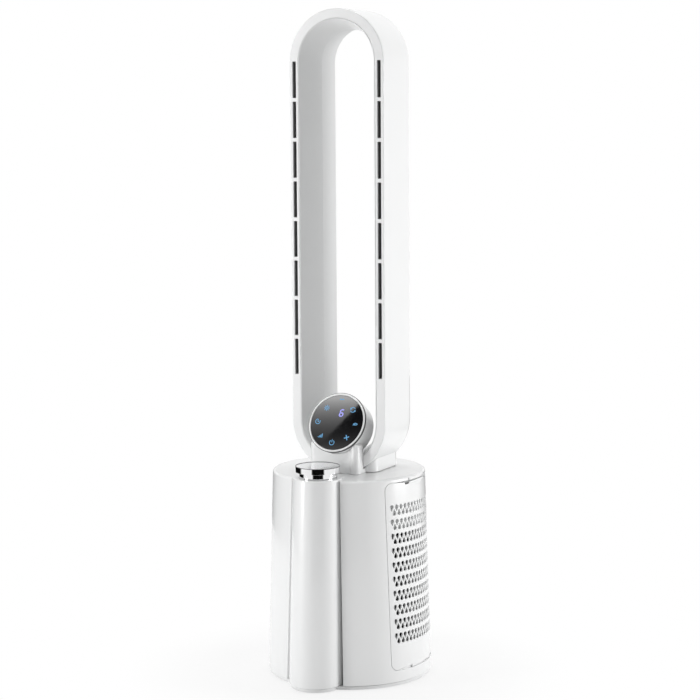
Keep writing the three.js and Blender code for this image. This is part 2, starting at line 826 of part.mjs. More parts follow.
// a curved slab that follows the body's side, between two depths below the body's surface
function sideSlab(outerDepth, innerDepth, z0, z1, segments = bodyFacets) {
  return solid(turnedRing([
    [bodyRadiusAt(z0) - innerDepth, z0],
    [bodyRadiusAt(z0) - outerDepth, z0],
    [bodyRadiusAt(z1) - outerDepth, z1],
    [bodyRadiusAt(z1) - innerDepth, z1],
  ], segments));
}

// one air hole as a kite: a blunt end and a pointed end, point down or point up
function dropShape(y, topZ, pointDown) {
  const bluntZ = pointDown ? topZ : topZ - dropHeight;
  const pointZ = pointDown ? topZ - dropHeight : topZ;
  const wideZ = bluntZ + (pointZ - bluntZ) * 0.3;
  const shape = new THREE.Shape();
  shape.moveTo(y, bluntZ);
  shape.lineTo(y - dropWidth / 2, wideZ);
  shape.lineTo(y, pointZ);
  shape.lineTo(y + dropWidth / 2, wideZ);
  return shape;
}

// only some of each row's drops are cut here, so that the cover stays light
function dropCutters() {
  const reach = windowHalfWidth - windowCorner + 2;
  const perRow = Math.floor((2 * reach) / dropPitch) + 1;
  const firstY = -((perRow - 1) / 2) * dropPitch;
  const cutters = [];
  for (let row = 0; row < dropRows; row += 1) {
    const topZ = dropTopZ - row * dropRowPitch;
    for (let place = 0; place < perRow; place += dropsPerHole) {
      const y = firstY + place * dropPitch;
      cutters.push(solid(alongX(dropShape(y, topZ, true), nearSide, farSide)));
      const lower = dropShape(y + dropPitch / 2, topZ - dropStagger, false);
      cutters.push(solid(alongX(lower, nearSide, farSide)));
    }
  }
  return cutters;
}

function filterCover() {
  const inset = coverSeam;
  const sheet = sideSlab(0, coverWall, windowBottomZ - 2, windowTopZ + 2)
    .intersect(windowPrism(inset, nearSide, farSide));
  const slots = [];
  for (const y of [-latchOffset, latchOffset]) {
    const slotZ = windowTopZ - inset - latchSlotDrop;
    slots.push(solid(block(nearSide, farSide, y - latchSlotWidth / 2, y + latchSlotWidth / 2,
      slotZ - latchSlotHeight / 2, slotZ + latchSlotHeight / 2)));
  }
  // two hooks drop behind the sill of the window and carry the cover while it tips out
  const hookTopZ = windowBottomZ + packBottomClearance - 1;
  const sillInner = bodyRadiusAt(windowBottomZ) - bodyWall;
  const hookX = Math.sqrt((sillInner - slidingGap) ** 2 - hookReach ** 2);
  const hooks = [];
  for (const y of [-hookReach + hookWidth / 2, hookReach - hookWidth / 2]) {
    const [y0, y1] = [y - hookWidth / 2, y + hookWidth / 2];
    hooks.push(solid(block(hookX - hookThickness, hookX, y0, y1, windowBottomZ - hookDepth, hookTopZ)));
    hooks.push(solid(block(hookX - hookThickness, hookX + 8, y0, y1, windowBottomZ + inset + 0.1, hookTopZ)));
  }
  const skin = cutBy(sheet, ...slots, ...dropCutters());
  const behindSkin = sideSlab(0.5, packInnerDepth, windowBottomZ - 2 * hookDepth, windowTopZ);
  return joined(skin, joined(...hooks).intersect(behindSkin));
}

const packZ = windowBottomZ + packBottomClearance;
const packTopZ = windowTopZ - packTopClearance;
const packOuterDepth = coverWall + 1;
const packInnerDepth = packOuterDepth + packThickness;

// a band of pleated paper in its tray, following the body's side
function filterPack() {
  const shape = roundedRectangle(-packHalfWidth, packHalfWidth, packZ, packTopZ, 4);
  const band = sideSlab(packOuterDepth, packInnerDepth, packZ - 1, packTopZ + 1, 36);
  return band.intersect(solid(alongX(shape, nearSide, farSide)));
}

// the fixed frame behind the pack, with a grid of openings that lets the air through
function packFrame() {
  const inner = packInnerDepth + 0.6;
  const bottomZ = floorTopZ + restingGap;
  const band = sideSlab(inner, inner + frameThickness, bottomZ, packTopZ, 36);
  const halfWidth = packHalfWidth + 2;
  const plate = solid(block(nearSide, farSide, -halfWidth, halfWidth, bottomZ - 1, packTopZ + 1));
  const columns = 2;
  const rows = 4;
  const cellWidth = (2 * halfWidth - frameBar) / columns;
  const cellHeight = (packTopZ - packZ - frameBar) / rows;
  const cells = [];
  for (let i = 0; i < columns; i += 1) {
    for (let j = 0; j < rows; j += 1) {
      const y0 = -halfWidth + frameBar + i * cellWidth;
      const z0 = packZ + frameBar + j * cellHeight;
      const [y1, z1] = [y0 + cellWidth - frameBar, z0 + cellHeight - frameBar];
      cells.push(solid(block(nearSide, farSide, y0, y1, z0, z1)));
    }
  }
  return cutBy(band.intersect(plate), ...cells);
}

for (const [side, turn] of [['right', 0], ['left', Math.PI]]) {
  addSolid(`filter_cover_${side}`, filterCover(), whiteGloss).rotation.z = turn;
  addSolid(`filter_pack_${side}`, filterPack(), filterPaper).rotation.z = turn;
  addSolid(`filter_frame_${side}`, packFrame(), whiteInner).rotation.z = turn;
}

// ---- blower ----

const blower = new THREE.Group();
blower.position.y = fanY;
fan.add(blower);

const casingBore = casingRadius - casingWall;
const bellTopZ = bellZ + bellHeight;
addTurned('inlet_bell', turnedRing([
  [casingRadius + bellFlare - 1.5, bellZ],
  [casingRadius + bellFlare, bellZ + 1.5],
  [casingRadius + bellFlare * 0.3, bellZ + bellHeight * 0.5],
  [casingRadius, bellTopZ],
  [casingBore, bellTopZ],
  [casingBore + bellFlare * 0.3, bellZ + bellHeight * 0.45],
], blowerFacets), blackPlastic, blower);

addTurned('blower_casing', ring(casingRadius, casingBore, bellTopZ + restingGap, casingTopZ, blowerFacets),
  greyPlastic, blower);

// a twisted plate between two radii and two heights, at one angle round the axis
function twistedBlade(r0, r1, z0, z1, twist, thickness, angle, across, along) {
  const rows = [];
  for (let i = 0; i <= across; i += 1) {
    const r = r0 + ((r1 - r0) * i) / across;
    const face = [];
    for (let j = 0; j <= along; j += 1) face.push([j / along, thickness / 2 / r]);
    for (let j = along; j >= 0; j -= 1) face.push([j / along, -thickness / 2 / r]);
    rows.push(face.map(([t, half]) => {
      const at = angle + twist * t + half;
      return new THREE.Vector3(r * Math.cos(at), r * Math.sin(at), z0 + (z1 - z0) * t);
    }));
  }
  return cappedRows(rows);
}

// rows of closed outlines joined into a body, with a flat fan over each end
function cappedRows(rows) {
  const count = rows[0].length;
  const positions = rows.flat().flatMap((point) => point.toArray());
  const index = [];
  for (let i = 0; i < rows.length - 1; i += 1) {
    for (let j = 0; j < count; j += 1) {
      const a = i * count + j;
      const b = i * count + ((j + 1) % count);
      index.push(a, b, b + count, a, b + count, a + count);
    }
  }
  const last = (rows.length - 1) * count;
  for (let j = 1; j < count / 2; j += 1) {
    const [a, b, c, d] = [j - 1, j, count - 1 - j, count - j];
    index.push(a, c, b, a, d, c);
    index.push(last + a, last + b, last + c, last + a, last + c, last + d);
  }
  const geometry = new THREE.BufferGeometry();
  geometry.setAttribute('position', new THREE.Float32BufferAttribute(positions, 3));
  geometry.setIndex(index);
  return geometry;
}

const hub = solid(turned([
  [0, impellerZ],
  [hubBottomRadius * 0.8, impellerZ],
  [hubBottomRadius, impellerZ + 2],
  [hubTopRadius, impellerTopZ],
  [0, impellerTopZ],
], 18));
const blades = [];
for (let blade = 0; blade < impellerBlades; blade += 1) {
  blades.push(solid(twistedBlade(hubBottomRadius * 0.7, impellerRadius, impellerZ + 1.5, impellerTopZ - 1.5,
    bladeTwist, bladeThickness, (2 * Math.PI * blade) / impellerBlades, 2, 3)));
}
addSolid('impeller', cutBy(joined(hub, ...blades),
  solid(disc(shaftRadius + restingGap, impellerZ - 1, impellerTopZ + 1, boreFacets))), blackPlastic, blower);

const motorZ = vaneZ + motorLift;
const motorTopZ = motorZ + motorHeight;
const shaftTopZ = motorZ + motorHeight * 0.6;
addTurned('motor_shaft', disc(shaftRadius, impellerZ - 8, shaftTopZ, boreFacets), steel, blower);
addSolid('impeller_nut',
  hexNut(shaftRadius + 5, shaftRadius + restingGap, impellerZ - 6, impellerZ - restingGap), brass, blower);
addSolid('fan_motor', cutBy(
  joined(solid(disc(motorRadius, motorZ, motorTopZ, hiddenFacets)),
    solid(disc(motorRadius * 0.4, motorTopZ - 1, motorTopZ + 3, boreFacets))),
  solid(disc(shaftRadius + slidingGap, motorZ - 1, shaftTopZ + 1, boreFacets)),
), steel, blower);
const mountRadius = motorRadius + 4.5;
addTurned('motor_mount', ring(mountRadius, motorRadius + restingGap, motorZ + 4, motorTopZ - 6, hiddenFacets),
  rubber, blower);

// fixed guide vanes carry the motor's cup in the middle of the casing
const cupBore = mountRadius + restingGap;
const cupRadius = cupBore + 2.2;
const vaneRingRadius = casingBore - restingGap;
const cup = solid(turned([
  [0, vaneTopZ + cupCrown],
  [cupRadius * 0.6, vaneTopZ + cupCrown],
  [cupRadius, vaneTopZ - 4],
  [cupRadius, vaneZ],
  [cupBore, vaneZ],
  [cupBore, vaneTopZ - 3.5],
  [cupBore * 0.6, vaneTopZ + 1.5],
  [0, vaneTopZ + 1.5],
], hiddenFacets));
const vanes = [solid(ring(vaneRingRadius, vaneRingRadius - 1.5, vaneZ, vaneTopZ - 12, blowerFacets))];
for (let vane = 0; vane < vaneCount; vane += 1) {
  vanes.push(solid(twistedBlade(cupRadius - 1, vaneRingRadius - 0.7, vaneZ + 1, vaneTopZ - 14,
    -0.35, bladeThickness, (2 * Math.PI * vane) / vaneCount, 1, 2)));
}
addSolid('guide_vanes', joined(cup, ...vanes), greyPlastic, blower);

// the duct above the casing changes from a circle to the neck's rounded rectangle
function roundedRectanglePoints(halfX, halfY, corner, count) {
  const shape = roundedRectangle(-halfX, halfX, -halfY, halfY, corner);
  const path = shape.getSpacedPoints(count * 8);
  const points = [];
  for (let i = 0; i < count; i += 1) {
    const angle = (2 * Math.PI * i) / count;
    let best = path[0];
    let bestGap = Infinity;
    for (const point of path) {
      const gap = Math.abs(Math.atan2(Math.sin(point.angle() - angle), Math.cos(point.angle() - angle)));
      if (gap < bestGap) [best, bestGap] = [point, gap];
    }
    points.push(best);
  }
  return points;
}

const neckHalfDepth = (neckBackY - neckFrontY) / 2;
const ductTopZ = deckUndersideZ - restingGap;
const ductRows = [];
for (const [wall, z] of [[0, 'low'], [0, 'high'], [ductWall, 'high'], [ductWall, 'low']]) {
  const row = [];
  const [halfX, halfY] = [neckHalfWidth - wall, neckHalfDepth - wall];
  const top = roundedRectanglePoints(halfX, halfY, neckCorner - wall, ductCount);
  for (let i = 0; i < ductCount; i += 1) {
    const angle = (2 * Math.PI * i) / ductCount;
    const radius = casingRadius - wall;
    row.push(z === 'high'
      ? new THREE.Vector3(top[i].x, top[i].y, ductTopZ)
      : new THREE.Vector3(radius * Math.cos(angle), radius * Math.sin(angle), casingTopZ + restingGap));
  }
  ductRows.push(row);
}
addSolid('neck_adapter', solid(wrappedGrid(ductRows)), greyPlastic, blower);

// ---- neck ----

const sealTopZ = deckZ + restingGap + neckSealHeight;
addSolid('neck_seal', cutBy(neckPrism(1.2, deckZ + restingGap, sealTopZ),
  neckPrism(neckWall + 1.2, deckZ - 5, sealTopZ + 5)), rubber);

// the loop rests in the neck's top edge, and its flattened foot stands on the neck's bottom flange
const neckTopEdgeZ = deckZ + neckHeight;
const loopSeat = cutBy(
  solid(loopFilled(loopRadius + restingGap, loopFrontY - 5, loopBackY + 5)),
  solid(block(-loopRadius, loopRadius, loopFrontY - 6, loopBackY + 6, 0, loopFootZ - restingGap)),
);
addSolid('neck', cutBy(
  neckPrism(0, sealTopZ + restingGap, neckTopEdgeZ),
  neckPrism(neckWall, deckZ, neckTopEdgeZ + 1),
  loopSeat,
), whiteGloss);

// ---- loop ----

const bandInner = loopRadius - loopBand;
const frameInner = bandInner + loopSeam;
const frameBackY = loopFrontY + loopWall;
const throatY = loopFrontY + throatDepth;
const shellFrontY = frameBackY + restingGap;
const belowDeck = solid(block(-loopRadius, loopRadius, loopFrontY - 5, loopBackY + 5,
  deckZ - overrun, loopFootZ));

const slitCutters = [];
const linerCutters = [];
for (const side of [-1, 1]) {
  for (let slit = 0; slit < slitCount; slit += 1) {
    const top = slitTopZ - slit * slitPitch;
    const [x0, x1] = [side * slitX - slitWidth / 2, side * slitX + slitWidth / 2];
    slitCutters.push(solid(block(x0, x1, loopFrontY - 1, frameBackY + 1, top - slitLength, top)));
    linerCutters.push(solid(block(x0 + 0.6, x1 - 0.6, loopFrontY - 1, frameBackY + linerDepth + 2,
      top - slitLength + 0.8, top - 0.8)));
  }
}
addSolid('loop_front', cutBy(solid(roundTheLoop([
  [frameInner, frameBackY],
  [frameInner, loopFrontY],
  [loopRadius - 0.8, loopFrontY],
  [loopRadius, loopFrontY + 0.8],
  [loopRadius, frameBackY],
])), belowDeck, ...slitCutters), whiteGloss);

const backEdge = loopBackRadius + loopWall;
const outerArc = filletArc(loopRadius - loopBackCorner, loopBackY - loopBackCorner, loopBackCorner, 0, 90, 4);
const innerArc = filletArc(loopRadius - loopBackCorner, loopBackY - loopBackCorner,
  loopBackCorner - loopWall, 90, 0, 3);
const airPath = neckPrism(neckWall + 4, deckZ - 10, loopLowerZ - throatRadius - 8);
addSolid('loop_outer_shell', cutBy(solid(roundTheLoop([
  [loopRadius - loopWall, shellFrontY],
  [loopRadius, shellFrontY],
  ...outerArc,
  [backEdge + restingGap, loopBackY],
  [backEdge + restingGap, loopBackY - loopWall],
  ...innerArc,
])), belowDeck, airPath), whiteGloss);

addSolid('loop_inner_shell', solid(roundTheLoop([
  [bandInner, loopFrontY],
  [bandInner - 1.2, loopFrontY],
  [throatRadius, throatY],
  [loopBackRadius, loopBackY],
  [backEdge, loopBackY],
  [throatRadius + loopWall + 0.2, throatY],
  [bandInner, loopFrontY + 6],
])), whiteSatin);

const linerX0 = bandInner + 1;
const linerX1 = loopRadius - loopWall - 0.8;
const linerZ0 = slitTopZ - (slitCount - 1) * slitPitch - slitLength - 5;
for (const [name, x0, x1] of [['left', -linerX1, -linerX0], ['right', linerX0, linerX1]]) {
  const liner = solid(block(x0, x1, shellFrontY, shellFrontY + linerDepth, linerZ0, slitTopZ + 4));
  addSolid(`slit_liner_${name}`, cutBy(liner, ...linerCutters), blackPlastic);
}

// ---- display ----

const display = new THREE.Group();
display.position.set(0, displayY, displayZ);
display.rotation.x = THREE.MathUtils.degToRad(90 - displayTilt);
fan.add(display);

const glassRadius = bezelRadius - bezelWidth;
addTurned('display_bezel', turnedRing([
  [glassRadius, -bezelDepth],
  [bezelRadius, -bezelDepth],
  [bezelRadius, -1.2],
  [bezelRadius - 1.2, 0],
  [glassRadius + 0.6, 0],
  [glassRadius, -0.6],
]), whiteGloss, display);
addTurned('display_glass', disc(glassRadius - restingGap, -glassThickness - 0.8, -0.8), blackGlass, display);
const drumFrontZ = -bezelDepth - restingGap;
const displayBoardRadius = drumRadius - drumWall - slidingGap;
addTurned('display_board', disc(displayBoardRadius, drumFrontZ - boardThickness, drumFrontZ, hiddenFacets),
  boardGreen, display);
const drumBackZ = drumFrontZ - drumDepth;
const bossBackZ = drumBackZ - bossDepth;
addTurned('display_housing', turned([
  [0, bossBackZ],
  [bossRadius - 3, bossBackZ],
  [bossRadius, bossBackZ + 3],
  [bossRadius, drumBackZ],
  [drumRadius - 7, drumBackZ],
  [drumRadius - 2, drumBackZ + 2],
  [drumRadius, drumBackZ + 7],
  [drumRadius, drumFrontZ],
  [drumRadius - drumWall, drumFrontZ],
  [drumRadius - drumWall, drumBackZ + 8],
  [drumRadius - drumWall - 5, drumBackZ + drumWall],
  [bossRadius - drumWall, drumBackZ + drumWall],
  [bossRadius - drumWall, bossBackZ + drumWall],
  [0, bossBackZ + drumWall],
]), whiteGloss, display);

// the cradle is a block with a round pillar at each front corner, hollowed to the drum. Its front
// lies back between the pillars and runs into each with a hollow fillet.
const cradleZ = deckZ + restingGap;
const cradleTopZ = cradleZ + cradleHeight;
const cradleBackY = loopFrontY - restingGap;
const webFilletY = cradleFrontY + cradleWebSetback - cradleWebFillet;
const pillarToFillet = cradlePillarRadius + cradleWebFillet;
const filletTurn = Math.asin((cradlePillarY - webFilletY) / pillarToFillet);
const webFilletX = cradlePillarX - pillarToFillet * Math.cos(filletTurn);
const plan = new THREE.Shape();
plan.moveTo(cradleHalfWidth, cradleBackY);
plan.lineTo(-cradleHalfWidth, cradleBackY);
plan.absarc(-cradlePillarX, cradlePillarY, cradlePillarRadius, Math.PI, 2 * Math.PI - filletTurn, false);
plan.absarc(-webFilletX, webFilletY, cradleWebFillet, Math.PI - filletTurn, Math.PI / 2, true);
plan.absarc(webFilletX, webFilletY, cradleWebFillet, Math.PI / 2, filletTurn, true);
plan.absarc(cradlePillarX, cradlePillarY, cradlePillarRadius, Math.PI + filletTurn, 2 * Math.PI, false);
const elevation = roundedRectangle(-cradleHalfWidth - 1, cradleHalfWidth + 1, cradleZ - overrun, cradleTopZ,
  cradlePillarRadius);
const drumCutter = joined(
  solid(disc(drumRadius + 0.5, -drumDepth * 3, drumDepth * 3)),
  solid(disc(bezelRadius + 0.5, -bezelDepth - 0.5, drumDepth * 3)),
);
const toDisplay = new THREE.Matrix4().makeRotationX(display.rotation.x).setPosition(0, displayY, displayZ);
const saddle = solid(meshGeometry(drumCutter).applyMatrix4(toDisplay));
const stepSides = [[-cradleHalfWidth, -cradleHalfWidth / 2], [cradleHalfWidth / 2, cradleHalfWidth]];
const steps = stepSides.map(([x0, x1]) =>
  solid(block(x0, x1, cradleBackY - 1, neckFrontY - restingGap, cradleZ, cradleZ + cradleStepHeight)));
const loopEnvelope = solid(loopFilled(loopRadius + restingGap, loopFrontY - restingGap, loopBackY));
const cradleScrewHoles = [-1, 1].map((side) =>
  solid(disc(cradleScrewRadius + restingGap, cradleZ - 1, cradleZ + cradleScrewLength + 2, boreFacets)
    .translate(side * cradlePillarX, cradlePillarY, 0)));
const cradleBlock = solid(upright(plan, cradleZ, cradleTopZ, 10)).intersect(
  solid(alongY(elevation, cradleFrontY - 5, 0)));
const cradle = cutBy(joined(cradleBlock, ...steps), saddle, loopEnvelope, ...cradleScrewHoles);
addSolid('display_cradle', cradle, whiteGloss);
const cradleScrew = screw(cradleScrewHeadRadius, cradleScrewHead, cradleScrewRadius, cradleScrewLength);
for (const [name, side] of [['left', -1], ['right', 1]]) {
  const fixing = add(`cradle_screw_${name}`, cradleScrew, steel);
  fixing.rotation.x = Math.PI;
  fixing.position.set(side * cradlePillarX, cradlePillarY, deckUndersideZ - restingGap - cradleScrewHead);
}

// ---- mains inlet and power board ----

const inletFaceY = inletY + inletDepth;
const pinHoles = [-1, 1].map((side) => solid(disc(pinRadius + restingGap, -5, socketDepth + 4, 12)
  .rotateX(Math.PI / 2).translate((side * pinSpacing) / 2, inletFaceY - 2, inletZ)));
const socketShape = roundedRectangle(-socketWidth / 2, socketWidth / 2, inletZ - socketHeight / 2,
  inletZ + socketHeight / 2, socketHeight / 2 - 0.1);
addSolid('mains_inlet', cutBy(
  solid(block(-inletWidth / 2, inletWidth / 2, inletY, inletFaceY,
    inletZ - inletHeight / 2, inletZ + inletHeight / 2)),
  solid(alongY(socketShape, inletFaceY - socketDepth, inletFaceY + 1)),
  ...pinHoles,
), blackPlastic);
for (const [name, side] of [['left', -1], ['right', 1]]) {
  add(`inlet_pin_${name}`, facingOut(disc(pinRadius, 0, pinLength + 4, 12).rotateX(-Math.PI / 2)), brass)
    .position.set((side * pinSpacing) / 2, inletFaceY - socketDepth - 3, inletZ);
}

const boardY = inletY - 6;
const boardZ = floorTopZ + restingGap;
const capacitors = [1, 2].map((place) =>
  solid(disc(capacitorRadius, 0, capacitorLength, boreFacets).rotateX(Math.PI / 2)
    .translate(capacitorX, boardY - boardThickness / 2, boardZ + place * capacitorPitch)));
const transformer = solid(block(transformerX - transformerWidth / 2, transformerX + transformerWidth / 2,
  boardY - transformerDepth, boardY - boardThickness / 2,
  boardZ + transformerRise, boardZ + transformerRise + transformerHeight));
const boardSheet = solid(block(-powerBoardWidth / 2, powerBoardWidth / 2, boardY - boardThickness, boardY,
  boardZ, boardZ + powerBoardHeight));
addSolid('power_board', joined(boardSheet, transformer, ...capacitors), boardGreen);

export default fan;
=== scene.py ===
# A tall bladeless tower fan, dressed around its packed construction.
# Metres, +Z up, the front faces -Y and +X is to the right seen from the front.
import json
import math
import bmesh
import bpy
from mathutils import Matrix, Vector, geometry


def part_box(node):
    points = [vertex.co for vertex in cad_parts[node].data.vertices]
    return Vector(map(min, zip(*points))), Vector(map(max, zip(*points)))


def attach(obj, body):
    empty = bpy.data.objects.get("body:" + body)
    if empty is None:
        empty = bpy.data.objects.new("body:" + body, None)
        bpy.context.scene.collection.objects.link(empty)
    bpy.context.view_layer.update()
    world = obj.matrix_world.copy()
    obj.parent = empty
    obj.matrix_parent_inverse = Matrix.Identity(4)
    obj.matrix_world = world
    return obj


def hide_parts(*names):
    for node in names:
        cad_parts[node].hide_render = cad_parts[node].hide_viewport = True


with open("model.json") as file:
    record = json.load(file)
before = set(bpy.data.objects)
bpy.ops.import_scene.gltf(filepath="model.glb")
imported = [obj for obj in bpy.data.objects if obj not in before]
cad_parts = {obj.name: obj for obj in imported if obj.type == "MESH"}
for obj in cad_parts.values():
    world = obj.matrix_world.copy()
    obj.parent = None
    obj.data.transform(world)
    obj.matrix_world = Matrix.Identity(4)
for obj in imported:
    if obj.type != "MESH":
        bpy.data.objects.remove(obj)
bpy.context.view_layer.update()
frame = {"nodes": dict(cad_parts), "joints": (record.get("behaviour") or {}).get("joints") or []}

# ---- camera ----
# The photograph was taken from the front right, a little above the display, with a long lens.
# The place and the lens were fitted to the outlines of the loop, the body and the column.
camera_place = Vector((1.3685, -2.6662, 0.8573))
camera_turn = math.radians(27)
camera_drop = math.radians(6.909)
camera_roll = math.radians(0.3765)


def placed(name, data):
    """A new object in the scene."""
    obj = bpy.data.objects.new(name, data)
    bpy.context.scene.collection.objects.link(obj)
    return obj


camera = placed("camera", bpy.data.cameras.new("camera"))
camera.data.sensor_fit = "HORIZONTAL"
camera.data.sensor_width = 36
camera.data.lens = 103.48
camera.matrix_world = (Matrix.Translation(camera_place)
                       @ Matrix.Rotation(camera_turn, 4, "Z")
                       @ Matrix.Rotation(math.pi / 2 - camera_drop, 4, "X")
                       @ Matrix.Rotation(-camera_roll, 4, "Z"))
bpy.context.scene.camera = camera
bpy.context.scene.view_settings.view_transform = "Standard"


# ---- studio ----
# A white sweep: the floor is pale and keeps the fan's shadow near its foot, and fades to the white
# of the backdrop. Softboxes stand at the front left and at the right, and a third hangs overhead.
# Black cards with soft ends give the chrome its stripes, and a tilted card shows in the glass.
class Signal:
    """A socket whose number changes over a surface. Sums and products on it add Math nodes."""

    def __init__(self, tree, socket):
        self.tree = tree
        self.socket = socket

    def __add__(self, other):
        return self.tree.maths("ADD", self, other)

    def __sub__(self, other):
        return self.tree.maths("SUBTRACT", self, other)

    def __rsub__(self, other):
        return self.tree.maths("SUBTRACT", other, self)

    def __mul__(self, other):
        return self.tree.maths("MULTIPLY", self, other)

    def __rpow__(self, other):
        return self.tree.maths("POWER", other, self)

    def __lt__(self, other):
        return self.tree.maths("LESS_THAN", self, other)

    __radd__ = __add__
    __rmul__ = __mul__


class Tree:
    """A node tree. Its method node adds any node, and the rest are short for those used most."""

    def __init__(self, owner):
        if not isinstance(owner, bpy.types.NodeTree):
            owner.use_nodes = True
            owner = owner.node_tree
        self.nodes = owner.nodes
        self.links = owner.links

    def feed(self, socket, value):
        if isinstance(value, Signal):
            self.links.new(value.socket, socket)
        else:
            socket.default_value = value

    def node(self, kind, settings=None, sockets=None, output=0):
        made = self.nodes.new(kind)
        for name, value in (settings or {}).items():
            setattr(made, name, value)
        for name, value in (sockets or {}).items():
            self.feed(made.inputs[name], value)
        return Signal(self, made.outputs[output])

    def maths(self, operation, *values):
        return self.node("ShaderNodeMath", {"operation": operation}, dict(enumerate(values)))

    def place(self):
        return self.node("ShaderNodeTexCoord", output="Object")

    def noise(self, place, scale, detail=2):
        return self.node("ShaderNodeTexNoise", {}, {"Vector": place, "Scale": scale, "Detail": detail})

    def between(self, low, high, amount):
        return self.node("ShaderNodeMix", {"data_type": "RGBA"}, {0: amount, 6: low, 7: high}, output=2)

    def smooth(self, value, low, high):
        settings = {"interpolation_type": "SMOOTHSTEP"}
        return self.node("ShaderNodeMapRange", settings, {"Value": value, "From Min": low, "From Max": high})

    def faded(self, colour, share, amount):
        return self.between([part * share for part in colour] + [1], list(colour) + [1], amount)

    def dot(self, place, direction):
        settings = {"operation": "DOT_PRODUCT"}
        return self.node("ShaderNodeVectorMath", settings, {0: place, 1: direction}, output="Value")

    def matt(self, shade):
        return self.node("ShaderNodeBsdfDiffuse", {}, {"Color": (shade, shade, shade, 1)})

    def glow(self, strength):
        return self.node("ShaderNodeEmission", {}, {"Color": (1, 1, 1, 1), "Strength": strength})

    def blend(self, amount, first, second):
        return self.node("ShaderNodeMixShader", {}, {0: amount, 1: first, 2: second})

    def surface(self, shader):
        self.links.new(shader.socket, self.nodes["Material Output"].inputs["Surface"])


def shown_to_eye(tree):
    """1 for rays that the camera, metal or glass sends to the backdrop, 0 for the light it gives."""
    path = tree.nodes.new("ShaderNodeLightPath")
    camera_ray, glossy_ray, clear_ray = (Signal(tree, path.outputs["Is " + kind + " Ray"])
                                         for kind in ("Camera", "Glossy", "Transmission"))
    return tree.maths("MAXIMUM", camera_ray, tree.maths("MAXIMUM", glossy_ray, clear_ray))


ambient_level = 0.37
world = bpy.data.worlds.new("white_sweep")
bpy.context.scene.world = world
tree = Tree(world)
background = tree.nodes["Background"].inputs
background["Color"].default_value = (1, 1, 1, 1)
tree.feed(background["Strength"], shown_to_eye(tree) * (1 - ambient_level) + ambient_level)


def toward(degrees, distance, z=0.0):
    """A place round the fan: 0 degrees is in front of it, and 90 is at its right."""
    turn = math.radians(degrees)
    return Vector((distance * math.sin(turn), -distance * math.cos(turn), z))


def board(name, corners, unseen=True):
    """A flat or bent board of the studio. A card shows only in what is glossy."""
    mesh = bpy.data.meshes.new(name)
    count = len(corners) // 2
    mesh.from_pydata(corners, [], [(i, i + 1, count + i + 1, count + i) for i in range(count - 1)])
    obj = placed(name, mesh)
    material = bpy.data.materials.new(name)
    mesh.materials.append(material)
    if unseen:
        obj.visible_camera = False
        obj.visible_diffuse = False
        obj.visible_shadow = False
    return Tree(material), obj


floor_radius = 6.0
shadow_radius = 0.36
shadow_core = 0.45
floor_edge = [toward(i * 7.5, floor_radius) for i in range(49)]
tree, _ = board("studio_floor", floor_edge[:25] + floor_edge[:23:-1], unseen=False)
away = tree.node("ShaderNodeVectorMath", {"operation": "LENGTH"}, {0: tree.place()}, output="Value")
fade = tree.smooth(away, shadow_radius * shadow_core, shadow_radius)
floor_shade = 0.9
kept_white = 0.8
amount = shown_to_eye(tree) * (fade * (1 - kept_white) + kept_white)
tree.surface(tree.blend(amount, tree.matt(floor_shade), tree.glow(1.0)))

card_distance = 1.2
card_height = 0.3
card_shade = 0.005
card_core = 0.8
cards = (("camera_side_card", -6, 60), ("left_card", -158, -56), ("rear_right_card", 152, 214))
for name, start, end in cards:
    foot = [toward(start + (end - start) * i / 12, card_distance) for i in range(13)]
    tree, _ = board(name, foot + [place + Vector((0, 0, card_height)) for place in foot])
    middle = toward((start + end) / 2 + 90, 1)
    reach = card_distance * math.sin(math.radians((end - start) / 2))
    aside = tree.dot(tree.place(), middle)
    fade = tree.smooth(tree.maths("ABSOLUTE", aside), reach * card_core, reach)
    tree.surface(tree.blend(fade, tree.matt(card_shade), tree.node("ShaderNodeBsdfTransparent")))

# the card that the display's glass reflects: pale above a slanted edge and fading down, dark below it
turn_y = next(joint for joint in frame["joints"] if joint["name"] == "swing")["pos_m"][1]
display_place = Vector((0, turn_y - 0.0395, 0.3882))
display_tilt = math.radians(26.4)
glass_facing = Vector((0, -math.cos(display_tilt), math.sin(display_tilt)))
to_camera = (camera_place - display_place).normalized()
reflected = 2 * glass_facing.dot(to_camera) * glass_facing - to_camera
glass_to_card = 1.1
card_middle = display_place + reflected * glass_to_card
across = Vector((0, 0, 1)).cross(reflected).normalized()
upward = reflected.cross(across)
tilt = math.radians(27)
card_right = across * math.cos(tilt) + upward * math.sin(tilt)
card_up = upward * math.cos(tilt) - across * math.sin(tilt)
card_half = 0.1
corners = [card_right * a * card_half + card_up * b * card_half for b in (-1, 1) for a in (-1, 1)]
tree, _ = board("display_card", [card_middle + corner for corner in corners])
place = tree.place()
rightward = tree.dot(place, card_right) - card_middle.dot(card_right)
height = tree.dot(place, card_up) - card_middle.dot(card_up)
edge_slope = 0.948
edge_offset = 0.0091
lit_side = (rightward - height * edge_slope) < edge_offset
pale_middle = 2.08
pale_growth = 28.4
pale_most = 9.0
dim_middle = 0.082
dim_growth = -46.5
dim_most = 1.4
pale = math.exp(pale_growth) ** height * pale_middle
dim = math.exp(dim_growth) ** height * dim_middle
strength = (lit_side * tree.maths("MINIMUM", pale, pale_most)
            + (1 - lit_side) * tree.maths("MINIMUM", dim, dim_most))
tree.surface(tree.glow(strength))


lit_point = Vector((0, 0, 0.4))


